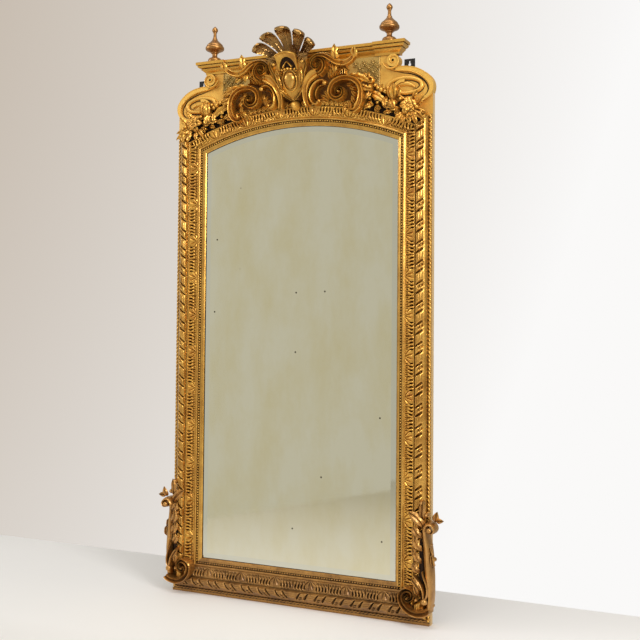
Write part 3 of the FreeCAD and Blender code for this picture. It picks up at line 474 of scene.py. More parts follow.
def add(tree: bpy.types.NodeTree, kind: str, settings: dict | None = None,
        inputs: dict | None = None) -> bpy.types.Node:
    """Add a node with its settings and links.

    Args:
        tree: The node tree.
        kind: Blender's name for the node.
        settings: Properties to set.
        inputs: Values for sockets, or sockets to link from, by name or index.

    Returns:
        The node.
    """
    made = tree.nodes.new(kind)
    for key, value in (settings or {}).items():
        setattr(made, key, value)
    for key, value in (inputs or {}).items():
        if isinstance(value, bpy.types.NodeSocket):
            tree.links.new(value, made.inputs[key])
        else:
            made.inputs[key].default_value = value
    return made


MIX = {"data_type": "RGBA", "blend_type": "MIX"}
FACTOR, FIRST, SECOND, MIXED = 0, 6, 7, 2


def blank(name: str) -> tuple[bpy.types.Material, bpy.types.NodeTree, bpy.types.Node]:
    """A new material with an empty principled shader.

    Args:
        name: Name of the finish.

    Returns:
        The material, its node tree and its shader.
    """
    material = bpy.data.materials.new(name)
    material.use_nodes = True
    tree = material.node_tree
    return material, tree, tree.nodes["Principled BSDF"]


def ramp(tree: bpy.types.NodeTree, value: bpy.types.NodeSocket, low: float, high: float, out_low: float = 0.0,
         out_high: float = 1.0) -> bpy.types.NodeSocket:
    """Stretch a value from one range to another, held at the ends."""
    return add(tree, "ShaderNodeMapRange", {"clamp": True},
               {"Value": value, "From Min": low, "From Max": high, "To Min": out_low,
                "To Max": out_high}).outputs[0]


def mix(tree: bpy.types.NodeTree, factor: bpy.types.NodeSocket, first: str | bpy.types.NodeSocket,
        second: str | bpy.types.NodeSocket) -> bpy.types.NodeSocket:
    """Blend two colours.

    Args:
        tree: The node tree.
        factor: Share of the second colour.
        first: A hex colour or a socket.
        second: A hex colour or a socket.

    Returns:
        The blended colour.
    """
    ends = [linear(c) if isinstance(c, str) else c for c in (first, second)]
    return add(tree, "ShaderNodeMix", MIX, {FACTOR: factor, FIRST: ends[0], SECOND: ends[1]}).outputs[MIXED]


def noise(tree: bpy.types.NodeTree, place: bpy.types.NodeSocket, size: float, detail: float,
          roughness: float = 0.5, distortion: float = 0.0) -> bpy.types.NodeSocket:
    """Add soft noise.

    Args:
        tree: The node tree.
        place: Where the pattern is read.
        size: Size of the pattern in millimetres.
        detail: Levels of finer pattern.
        roughness: Share of the finer pattern.
        distortion: How far the pattern is stirred.

    Returns:
        The noise, about 0.5.
    """
    return add(tree, "ShaderNodeTexNoise",
               inputs={"Vector": place, "Scale": per_mm(size), "Detail": detail, "Roughness": roughness,
                       "Distortion": distortion}).outputs["Fac"]


def stretch(tree: bpy.types.NodeTree, place: bpy.types.NodeSocket,
            by: tuple[float, float, float]) -> bpy.types.NodeSocket:
    """Scale a place on each axis."""
    return add(tree, "ShaderNodeVectorMath", {"operation": "MULTIPLY"}, {0: place, 1: by}).outputs[0]


def product(tree: bpy.types.NodeTree, first: bpy.types.NodeSocket,
            second: bpy.types.NodeSocket) -> bpy.types.NodeSocket:
    """Multiply two values."""
    return add(tree, "ShaderNodeMath", {"operation": "MULTIPLY"}, {0: first, 1: second}).outputs[0]


@dataclass(frozen=True)
class Gilding:
    """Gold leaf over red bole and gesso, burnished on its high points with a painted highlight on sharp edges,
    with varnish, dirt and painted shade in the hollows.

    Attributes:
        name: Name of the material.
        bright: Colour of rubbed leaf, also painted on sharp edges as a highlight.
        deep: Colour of leaf under old varnish.
        hollow: Colour of the dirt and painted shade in the hollows.
        bole: Colour of the clay ground where the leaf is worn.
        metallic: How much of the surface is still metal.
        roughness: Middle roughness.
        hollow_mm: Width of a hollow that is darkened with dirt and painted shade.
        wear: Share of worn spots.
        patch_mm: Size of the light and dark patches.
    """

    name: str
    bright: str
    deep: str
    hollow: str
    bole: str
    metallic: float = 0.9
    roughness: float = 0.34
    hollow_mm: float = 9.0
    wear: float = 0.16
    patch_mm: float = 60.0

    def make(self) -> bpy.types.Material:
        """Build the material.

        Returns:
            The material.
        """
        material, tree, shader = blank(self.name)
        place = add(tree, "ShaderNodeTexCoord").outputs["Object"]
        patch = noise(tree, place, self.patch_mm, 4.0, 0.62)
        grain = noise(tree, place, 5.0, 3.0, 0.7)
        # Painted highlight: sharp edges are lightened toward the bright colour, as rubbed leaf.
        edge = ramp(tree, add(tree, "ShaderNodeNewGeometry").outputs["Pointiness"], 0.47, 0.56)
        # Painted shade with dirt: hollows found by ambient occlusion take the hollow colour and lose their
        # metal.
        open_air = add(tree, "ShaderNodeAmbientOcclusion", {"samples": 6, "only_local": False},
                       {"Distance": self.hollow_mm * MM}).outputs["AO"]
        clean_and_unshaded = ramp(tree, open_air, 0.18, 0.7)
        leaf_tone = mix(tree, ramp(tree, patch, 0.32, 0.68), self.deep, self.bright)
        rubbed = mix(tree, ramp(tree, edge, 0.35, 1.0, 0.0, 0.7), leaf_tone, self.bright)
        worn = mix(tree, ramp(tree, grain, 0.56, 0.72, 0.0, self.wear * 3.0), rubbed, self.bole)
        tree.links.new(mix(tree, clean_and_unshaded, self.hollow, worn), shader.inputs["Base Color"])
        tree.links.new(ramp(tree, clean_and_unshaded, 0.0, 1.0, 0.25, self.metallic), shader.inputs["Metallic"])
        rough = ramp(tree, grain, 0.3, 0.7, self.roughness - 0.08, self.roughness + 0.12)
        tree.links.new(rough, shader.inputs["Roughness"])
        shader.inputs["Coat Weight"].default_value = 0.4
        shader.inputs["Coat Roughness"].default_value = 0.24
        bump = add(tree, "ShaderNodeBump", inputs={"Strength": 0.22, "Distance": 0.5 * MM, "Height": grain})
        tree.links.new(bump.outputs["Normal"], shader.inputs["Normal"])
        return material


@dataclass(frozen=True)
class OldBoards:
    """Sawn pine, brown with age, with its grain along the boards; the front and sides are gilded over gesso.

    Attributes:
        name: Name of the material.
        pale: Colour of early wood.
        dark: Colour of late wood.
        gilt: Colour of the gilded faces, or None where the wood is bare all round.
        grain_mm: Spacing of the grain.
        upright: Whether the grain runs up the board.
        shade_mm: Half width of a front that is darkened brown by painted shade behind openwork, or zero.
    """

    name: str
    pale: str
    dark: str
    gilt: str | None
    grain_mm: float = 9.0
    upright: bool = True
    shade_mm: float = 0.0

    def make(self) -> bpy.types.Material:
        """Build the material.

        Returns:
            The material.
        """
        material, tree, shader = blank(self.name)
        place = add(tree, "ShaderNodeTexCoord").outputs["Object"]
        drawn = stretch(tree, place, (1.0, 1.0, 0.05) if self.upright else (0.05, 1.0, 1.0))
        grain = noise(tree, drawn, self.grain_mm, 5.0, 0.6, 0.6)
        stain = noise(tree, place, 180.0, 3.0)
        wood = mix(tree, ramp(tree, grain, 0.38, 0.62), self.dark, self.pale)
        colour = mix(tree, ramp(tree, stain, 0.4, 0.75, 0.0, 0.55), wood, self.dark)
        if self.gilt:
            facing = add(tree, "ShaderNodeSeparateXYZ",
                         inputs={0: add(tree, "ShaderNodeNewGeometry").outputs["Normal"]}).outputs["Y"]
            bare = ramp(tree, facing, 0.55, 0.75)
            rubbed = mix(tree, ramp(tree, stain, 0.35, 0.7, 0.0, 0.45), self.gilt, "#C9A566")
            # Painted shade: the front within shade_mm of the middle is browned, as behind the openwork.
            if self.shade_mm:
                across = add(tree, "ShaderNodeSeparateXYZ", inputs={0: place}).outputs["X"]
                off = add(tree, "ShaderNodeMath", {"operation": "ABSOLUTE"}, {0: across}).outputs[0]
                openwork_shade = ramp(tree, off, (self.shade_mm - 4.0) * MM, (self.shade_mm + 4.0) * MM, 1.0, 0.0)
                rubbed = mix(tree, openwork_shade, rubbed, "#8A6030")
            colour = mix(tree, bare, rubbed, colour)
            tree.links.new(ramp(tree, bare, 0.0, 1.0, 0.2, 0.0), shader.inputs["Metallic"])
        tree.links.new(colour, shader.inputs["Base Color"])
        tree.links.new(ramp(tree, grain, 0.3, 0.7, 0.5, 0.72), shader.inputs["Roughness"])
        bump = add(tree, "ShaderNodeBump", inputs={"Strength": 0.3, "Distance": 0.6 * MM, "Height": grain})
        tree.links.new(bump.outputs["Normal"], shader.inputs["Normal"])
        shader.inputs["Specular IOR Level"].default_value = 0.2
        return material


@dataclass(frozen=True)
class AgedMirror:
    """Silvered plate glass, a little warm, with clouded silver, foxing spots and a painted reflection: a
    cooler tint on the bevel.
    """

    name: str = "aged_silvered_glass"
    clear: str = "#DDDBC8"
    clouded: str = "#D6CEA8"
    foxing: str = "#3E352A"
    bevelled: str = "#D0D2C9"

    def make(self) -> bpy.types.Material:
        """Build the material.

        Returns:
            The material.
        """
        material, tree, shader = blank(self.name)
        place = add(tree, "ShaderNodeTexCoord").outputs["Object"]
        cloud = noise(tree, stretch(tree, place, (1.0, 1.0, 0.45)), 170.0, 5.0, 0.6)
        axes = add(tree, "ShaderNodeSeparateXYZ", inputs={0: place}).outputs
        sheet = add(tree, "ShaderNodeCombineXYZ", inputs={0: axes[0], 1: axes[2]}).outputs[0]
        cells = add(tree, "ShaderNodeTexVoronoi", {"voronoi_dimensions": "2D"},
                    {"Vector": sheet, "Scale": per_mm(120.0)})
        # Painted reflection: the slanted bevel is tinted cooler than the flat plate.
        faced = add(tree, "ShaderNodeNewGeometry").outputs["True Normal"]
        front = add(tree, "ShaderNodeSeparateXYZ", inputs={0: faced}).outputs[1]
        slope = ramp(tree, front, -0.9996, -0.9985, 0.0, 0.6)
        pick = add(tree, "ShaderNodeSeparateColor", inputs={0: cells.outputs["Color"]}).outputs[0]
        speck = ramp(tree, cells.outputs["Distance"], 0.022, 0.034, 1.0, 0.0)
        chosen = ramp(tree, pick, 0.86, 0.88)
        silver = mix(tree, ramp(tree, cloud, 0.42, 0.7, 0.0, 0.8), self.clear, self.clouded)
        plate = mix(tree, slope, silver, self.bevelled)
        spotted = mix(tree, product(tree, speck, chosen), plate, self.foxing)
        tree.links.new(spotted, shader.inputs["Base Color"])
        shader.inputs["Metallic"].default_value = 1.0
        tree.links.new(ramp(tree, cloud, 0.4, 0.75, 0.04, 0.12), shader.inputs["Roughness"])
        return material


@dataclass(frozen=True)
class Lacquer:
    """Black lacquer on pressed steel, greyed by dust."""

    name: str = "black_lacquered_steel"

    def make(self) -> bpy.types.Material:
        """Build the material.

        Returns:
            The material.
        """
        material, tree, shader = blank(self.name)
        place = add(tree, "ShaderNodeTexCoord").outputs["Object"]
        dust = noise(tree, place, 4.0, 4.0)
        tone = mix(tree, ramp(tree, dust, 0.45, 0.75), "#16171A", "#3A3A3C")
        tree.links.new(tone, shader.inputs["Base Color"])
        tree.links.new(ramp(tree, dust, 0.3, 0.7, 0.35, 0.6), shader.inputs["Roughness"])
        shader.inputs["Metallic"].default_value = 0.3
        return material


@dataclass
class Finishes:
    """Every material of the mirror, made once."""

    leaf: bpy.types.Material
    bright: bpy.types.Material
    ochre: bpy.types.Material
    diaper: bpy.types.Material
    bronze: bpy.types.Material
    turned: bpy.types.Material
    foot: bpy.types.Material
    boards: bpy.types.Material
    rail: bpy.types.Material
    bracket: bpy.types.Material
    crest: bpy.types.Material
    back: bpy.types.Material
    crossbar: bpy.types.Material
    mirror: bpy.types.Material
    lacquer: bpy.types.Material
    stain: bpy.types.Material

    @classmethod
    def make(cls) -> "Finishes":
        """Build all materials.

        Returns:
            The set of materials.
        """
        return cls(
            # Carved ornament: warm leaf with dark brown hollows.
            leaf=Gilding("gilded_carving", "#E6B24E", "#B4762A", "#44240C", "#84401A").make(),
            # Smooth runs of the frame: cleaner, paler leaf.
            bright=Gilding("gilded_moulding", "#DEAC52", "#A9742A", "#2C1808", "#84431A", roughness=0.3,
                           wear=0.12).make(),
            # Plain fields of the shoulders: matte leaf on yellow bole.
            ochre=Gilding("matte_gilded_field", "#F2C05A", "#DBA244", "#4A2A0C", "#A0642A", metallic=0.7,
                          roughness=0.46, wear=0.08, hollow_mm=12.0).make(),
            # Trellis ground: dull leaf, olive under dust.
            diaper=Gilding("dull_gilded_trellis", "#D0AE62", "#A0803C", "#3A2A10", "#75521F", metallic=0.7,
                           roughness=0.5).make(),
            # Plumes: leaf worn down to a bronze tone.
            bronze=Gilding("bronzed_gilding", "#B08544", "#54361A", "#180C05", "#3A2010", metallic=0.95,
                           roughness=0.22, wear=0.16).make(),
            # Finials: satin leaf, brown with the bole that shows through.
            turned=Gilding("satin_gilded_turning", "#BC8846", "#805228", "#241107", "#6A351A", roughness=0.36,
                           wear=0.2).make(),
            # Bottom rail: leaf under years of floor dust.
            foot=Gilding("dusty_gilding", "#B98846", "#6B4722", "#150C06", "#3F2614", metallic=0.75,
                         roughness=0.44, wear=0.28, hollow_mm=18.0).make(),
            # Outer sides: thin pale gilding on gesso; bare pine behind.
            boards=OldBoards("gilded_pine_boards", "#A67C4E", "#6B4A2B", "#D4B688").make(),
            # Crest board: as the sides, but with painted shade, brown, behind the openwork.
            crest=OldBoards("pine_crest_painted_shade", "#A67C4E", "#6B4A2B", "#C79A4C", shade_mm=344.0).make(),
            # Rail over the arch: gilded on its face, bare pine behind.
            rail=OldBoards("gilded_pine_rail", "#A67C4E", "#6B4A2B", "#A8752C").make(),
            # Lower brackets: carved leaf, browned by dust and handling.
            bracket=Gilding("browned_gilding", "#CC9850", "#80562A", "#20120A", "#6A3818", metallic=0.85,
                            roughness=0.36, wear=0.22).make(),
            # Back of the frame: bare old pine, dry and brown, with the grain upright.
            back=OldBoards("old_pine_boards", "#8D6B45", "#5A3F26", None, 12.0).make(),
            # Crossbars: the same pine with the grain across.
            crossbar=OldBoards("old_pine_crossbars", "#93704A", "#5F4328", None, 10.0, upright=False).make(),
            # Glass: old silvering, a little warm, specked, with a painted reflection on the bevel, a cooler
            # tint.
            mirror=AgedMirror().make(),
            # Keyhole plates and screws: black lacquer with a soft sheen.
            lacquer=Lacquer().make(),
            # Dark sheets of painted shade in the sunk grounds, grooves and hollows, and the rebate edge, which
            # is blackened and also painted shade: pine stained nearly black.
            stain=OldBoards("painted_shade_dark_pine", "#382212", "#1C1008", None, 6.0).make(),
        )


# Running mouldings


def soft_step(value: np.ndarray, low: float, high: float) -> np.ndarray:
    """Rise smoothly from 0 at low to 1 at high."""
    u = np.clip((value - low) / (high - low), 0.0, 1.0)
    return u * u * (3.0 - 2.0 * u)


def bead_relief(s: np.ndarray, t: np.ndarray) -> np.ndarray:
    """Row of small beads along the sight moulding.

    Args:
        s: Millimetres along the run.
        t: Share of the way from the sight edge to the outer edge.

    Returns:
        Height to add, in millimetres.
    """
    pitch = 10.5
    q = (np.mod(s, pitch) - 0.5 * pitch) / (0.46 * pitch)
    c = (t - 0.555) / 0.115
    bead = np.sqrt(np.clip(1.0 - q ** 2 - c ** 2, 0.0, 1.0))
    row = np.abs(t - 0.555) < 0.125
    return np.where(row, 7.6 * bead - 4.2, 0.0)


def tongue_relief(s: np.ndarray, t: np.ndarray) -> np.ndarray:
    """Tongues across the leaf band, with a palmette at each repeat.

    Args:
        s: Millimetres along the run.
        t: Share of the way from the inner edge to the outer edge.

    Returns:
        Height to add, in millimetres.
    """
    repeat, pitch, half_motif = 150.0, 13.0, 23.0
    q = np.mod(s, repeat) - 0.5 * repeat
    c = np.mod(np.abs(q) - half_motif + 2.4 * np.sin(2.0 * math.pi * t), pitch) - 0.5 * pitch
    gap = 0.5 * pitch - np.abs(c)
    window = soft_step(t, 0.04, 0.12) * (1.0 - soft_step(t, 0.88, 0.97))
    outer = np.exp(-(gap / 2.5) ** 2) * soft_step(t, 0.46, 0.58) * (1.0 - soft_step(t, 0.8, 0.92))
    inner = np.exp(-(c / 2.0) ** 2) * soft_step(t, 0.06, 0.14) * (1.0 - soft_step(t, 0.28, 0.38))
    line = np.exp(-(gap / 1.2) ** 2)
    bars = window * (3.4 * (1.0 - (2.0 * c / pitch) ** 2) - 3.2 * line) - 8.0 * outer - 6.6 * inner
    r = np.hypot(q, (t + 0.05) * 39.0)
    turn = np.arctan2(q, (t + 0.05) * 39.0 + 1e-6)
    petal = np.abs(np.cos(turn * 5.2)) ** 0.7
    fan = (5.6 * petal - 2.8) * (1.0 - soft_step(r, 34.0, 39.0)) * soft_step(r, 2.0, 7.0)
    return np.where(np.abs(q) < half_motif, fan * window, bars)


def ribbon_relief(s: np.ndarray, t: np.ndarray) -> np.ndarray:
    """Ribbon wound round a bundle of leaves: cupped leaves with a berry in each, between plain folds.

    Args:
        s: Millimetres along the run.
        t: Share of the way from the inner edge to the outer edge.

    Returns:
        Height to add, in millimetres.
    """
    unit = 75.0
    w = np.mod(s - 32.0 * t, unit) / unit
    band = soft_step(t, 0.1, 0.24) * (1.0 - soft_step(t, 0.64, 0.78))
    lobe = np.sqrt(np.clip(1.0 - ((w - 0.21) / 0.22) ** 2, 0.0, 1.0))
    fold = np.sqrt(np.clip(1.0 - ((w - 0.71) / 0.29) ** 2, 0.0, 1.0))
    made = band * (5.4 * lobe + 2.6 * fold)
    wedge = 0.036 + 0.036 * soft_step(t, 0.25, 0.6)
    for slit in (-0.005, 0.425, 0.995):
        made = made - 11.0 * np.exp(-((w - slit) / wedge) ** 2) * band
    cup = np.exp(-((w - 0.22) / 0.1) ** 2) * soft_step(t, 0.4, 0.52) * (1.0 - soft_step(t, 0.7, 0.8))
    knob = np.hypot((w - 0.22) * unit, (t - 0.6) * (RIBBON_OUT - LEAF_OUT))
    made = made - 10.0 * cup + 7.5 * np.exp(-(knob / 3.2) ** 4)
    between = soft_step(w, 0.5, 0.58) * (1.0 - soft_step(w, 0.84, 0.92))
    for groove in (0.32, 0.46):
        made = made - 2.0 * np.exp(-((t - groove) / 0.035) ** 2) * between
    return made - 6.0 * np.exp(-((t - 0.06) / 0.06) ** 2)


def plain(s: np.ndarray, t: np.ndarray) -> np.ndarray:
    """No relief."""
    return np.zeros(np.broadcast(s, t).shape)


def mitre_reach(offset: np.ndarray) -> np.ndarray:
    """Half angle of the arch, at the mitre, of the lines that lie the given offsets outside the sight edge.

    Args:
        offset: Offsets in millimetres.

    Returns:
        The half angles in radians.
    """
    a = 1.0 + MITRE_RISE ** 2
    lift = SPRING_Z - ARCH_CZ
    b = SIGHT_HALF + MITRE_RISE * lift
    c = SIGHT_HALF ** 2 + lift ** 2 - (ARCH_R + offset) ** 2
    along = (-b + np.sqrt(b * b - a * c)) / a
    return np.arctan2(SIGHT_HALF + along, lift + MITRE_RISE * along)


@dataclass
class Moulding:
    """A moulding that runs round the plate, with its carved pattern.

    Attributes:
        name: First word of the CAD nodes.
        inner: Offset of its inner edge from the sight edge.
        outer: Offset of its outer edge.
        section: Points of its front, as (offset, height over the boards).
        relief: The carved pattern.
        step: Distance between stations along the run.
        seat: Height of its foot over the boards.
    """

    name: str
    inner: float
    outer: float
    section: Sequence[tuple[float, float]]
    relief: Callable[[np.ndarray, np.ndarray], np.ndarray]
    step: float
    seat: float = 0.0

    def rings(self, run: Run) -> np.ndarray:
        """Closed rings of one length.

        Args:
            run: Which length.

        Returns:
            Array of rings, points and coordinates.
        """
        d = np.array([p[0] for p in self.section])
        h = np.array([p[1] for p in self.section])
        t = (d - self.inner) / (self.outer - self.inner)
        if run is Run.ARCH:
            reach = mitre_reach(d)
            length = 2.0 * reach.max() * (ARCH_R + self.outer)
        elif run is Run.BOTTOM:
            reach = SIGHT_HALF + d
            length = 2.0 * reach.max()
        else:
            low = SIGHT_BOTTOM - d
            high = SPRING_Z + MITRE_RISE * d
            length = high.max() - low.min()
        share = np.linspace(0.0, 1.0, int(length / self.step) + 1)[:, None]
        if run is Run.ARCH:
            turn = reach * (2.0 * share - 1.0)
            height = h + self.relief(np.abs(turn) * (ARCH_R + PATTERN_OUT), t[None, :])
            radius = ARCH_R + d
            x, z = radius * np.sin(turn), ARCH_CZ + radius * np.cos(turn)
        elif run is Run.BOTTOM:
            x = reach * (2.0 * share - 1.0)
            height = h + self.relief(-np.abs(x), t[None, :])
            z = np.broadcast_to(SIGHT_BOTTOM - d, x.shape)
        else:
            z = low + (high - low) * share
            height = h + self.relief(z, t[None, :])
            x = np.broadcast_to(SIGHT_HALF + d, z.shape)
            x = x if run is Run.RIGHT else -x
        front = np.stack([x, BOARD_FRONT - height, z], axis=-1)
        foot = front[:, [-1, 0], :].copy()
        foot[:, :, 1] = BOARD_FRONT - self.seat
        return np.concatenate([front, foot], axis=1)

    def dress(self, runs: Sequence[Run], finish: bpy.types.Material, foot: bpy.types.Material) -> None:
        """Build the lengths.

        Args:
            runs: Lengths to build.
            finish: Material of the upright and arched lengths.
            foot: Material of the bottom length.
        """
        for run in runs:
            carving = Carving().shell(self.rings(run))
            node = f"{self.name}_moulding_{run.value}"
            carving.build(f"{self.name}_run_{run.value}", foot if run is Run.BOTTOM else finish, "leaf_gilt",
                          [node])


def arc_points(first: tuple[float, float], middle: tuple[float, float], last: tuple[float, float],
               count: int) -> list[tuple[float, float]]:
    """Points of the arc through three points.

    Args:
        first: Where the arc starts.
        middle: A point on its way.
        last: Where it ends.
        count: How many points.

    Returns:
        The points in order.
    """
    (x0, y0), (x1, y1), (x2, y2) = first, middle, last
    d = 2.0 * (x0 * (y1 - y2) + x1 * (y2 - y0) + x2 * (y0 - y1))
    s0, s1, s2 = x0 * x0 + y0 * y0, x1 * x1 + y1 * y1, x2 * x2 + y2 * y2
    cx = (s0 * (y1 - y2) + s1 * (y2 - y0) + s2 * (y0 - y1)) / d
    cy = (s0 * (x2 - x1) + s1 * (x0 - x2) + s2 * (x1 - x0)) / d
    start, end = math.atan2(y0 - cy, x0 - cx), math.atan2(y2 - cy, x2 - cx)
    while end < start - math.pi:
        end += 2 * math.pi
    while end > start + math.pi:
        end -= 2 * math.pi
    radius = math.hypot(x0 - cx, y0 - cy)
    turn = np.linspace(start, end, count)
    return [(cx + radius * math.cos(a), cy + radius * math.sin(a)) for a in turn]


@dataclass
class FrameRuns:
    """The three mouldings round the plate, the edge of the rebate and the rope outside them.

    Attributes:
        rope_twist: Spacing of the strands along the rope.
        strands: Strands of the rope.
        rope_gap: Gap between the ribbon moulding and the rope.
        rope_lift: How far the middle of the rope stands off the boards.
    """

    rope_twist: float = 15.0
    strands: int = 2
    rope_gap: float = 2.6
    rope_lift: float = 4.5

    def build(self, finishes: Finishes) -> None:
        """Build every length and dress it.

        Args:
            finishes: The materials of the mirror.
        """
        all_runs = list(Run)
        sight = [(0, 3), (.8, 4.2), (6, 7.8), (12, 10.6), (14, 11), (15, 11.1), (16, 11.2), (17, 11.3),
                 (18, 11.4), (19, 11.4), (20, 11.3), (21, 11.2), (22, 11), (22.8, 12.4), (23.6, 15.6),
                 (25, 17.4), (27, 18), (29, 17.4), (31, 16), (33, 13.8), (34, 13)]
        Moulding("sight", 0.0, SIGHT_OUT, sight, bead_relief, 1.25).dress(
            all_runs, finishes.bright, finishes.foot)
        # Rebate edge, dark: a blackened rebate, and painted shade of the gap beside the glass.
        lip = [(-0.7, 0.6), (-0.7, 2.2), (-0.5, 2.6), (0.2, 2.6)]
        liner = Moulding("liner", -0.7, 0.2, lip, plain, 20.0, 0.7)
        for run in all_runs:
            Carving().shell(liner.rings(run)).build(f"rebate_edge_{run.value}", finishes.stain, "frame_wood")
        d = np.linspace(SIGHT_OUT, LEAF_OUT, 27)
        h = np.interp(d, [SIGHT_OUT, SIGHT_OUT + 21.5, LEAF_OUT], [13.0, 14.6, 20.0])
        Moulding("leaf", SIGHT_OUT, LEAF_OUT, list(zip(d, h)), tongue_relief, 1.2).dress(
            all_runs, finishes.leaf, finishes.foot)
        crown = LEAF_OUT + 0.7 * (RIBBON_OUT - LEAF_OUT)
        torus = arc_points((LEAF_OUT, 19.0), (LEAF_OUT + 17.4, 33.0), (crown, 28.0), 31)
        cove = arc_points((crown, 28.0), (crown + 9.0, 21.0), (RIBBON_OUT + 3.0, 6.0), 11)
        sides = [Run.RIGHT, Run.LEFT, Run.BOTTOM]
        Moulding("ribbon", LEAF_OUT, RIBBON_OUT, torus + cove[1:], ribbon_relief, 1.5).dress(
            sides, finishes.bright, finishes.foot)
        for run in sides:
            self.rope(run, finishes)

    def rope(self, run: Run, finishes: Finishes) -> None:
        """Build one length of rope.

        Args:
            run: Which length.
            finishes: The materials.
        """
        middle = RIBBON_OUT + ROPE_R + self.rope_gap
        if run is Run.BOTTOM:
            s = np.linspace(-SIGHT_HALF - middle, SIGHT_HALF + middle, 700)
        else:
            s = np.linspace(SIGHT_BOTTOM - middle, SPRING_Z + MITRE_RISE * middle, 1150)
        turn = np.linspace(0.0, 2.0 * math.pi, 20, endpoint=False)
        hand = -1.0 if run is Run.LEFT else 1.0
        phase = math.pi * s[:, None] / self.rope_twist - 0.5 * self.strands * turn[None, :]
        radius = ROPE_R * (0.42 + 0.58 * np.abs(np.sin(phase)) ** 0.6)
        across = radius * np.cos(turn)
        depth = BOARD_FRONT - self.rope_lift - np.maximum(radius * np.sin(turn), -self.rope_lift)
        along = np.broadcast_to(s[:, None], across.shape)
        if run is Run.BOTTOM:
            rings = np.stack([along, depth, SIGHT_BOTTOM - middle - across], axis=-1)
        else:
            rings = np.stack([hand * (SIGHT_HALF + middle + across), depth, along], axis=-1)
        finish = finishes.foot if run is Run.BOTTOM else finishes.bright
        Carving().shell(rings).build(f"rope_run_{run.value}", finish, "leaf_gilt",
                                     [f"rope_moulding_{run.value}"])


# Ornament parts


def berry(x: float, z: float, depth: float, radius: float) -> np.ndarray:
    """A small round berry."""
    return dome(x, z, depth, radius, radius, 1.5 * radius, 6, 12)


def rose(x: float, z: float, depth: float, radius: float, turn: float = 0.0) -> list[np.ndarray]:
    """An open rose: two rings of petals about a round heart.

    Args:
        x: Front-view place.
        z: Front-view place.
        depth: Y of the ground.
        radius: Reach of the outer petals.
        turn: Turn of the flower in degrees.

    Returns:
        Stacks of rings.
    """
    made = []
    for count, reach, wide, off, cut in (
            (5, 1.0, 0.62, 0.0, LeafCut(0, 0.0, 5.0, 13.0, -8.0, 14.0, 0.6)),
            (5, 0.62, 0.5, -8.0, LeafCut(0, 0.0, 4.0, 11.0, 2.0, -10.0, 0.6))):
        for i in range(count):
            angle = turn + 360.0 * (i + (0.0 if off == 0.0 else 0.5)) / count
            made.append(leaf((x, z), angle, reach * radius, wide * radius, depth + off, cut))
    made.append(dome(x, z, depth - 8.0, 0.3 * radius, 0.3 * radius, 12.0, 6, 12))
    return made


def volute_eye(x: float, z: float, depth: float, front: float, radius: float) -> list[np.ndarray]:
    """The button at the middle of a scroll."""
    return [dome(x, z, depth, radius, radius, depth - front, 9, 18)]


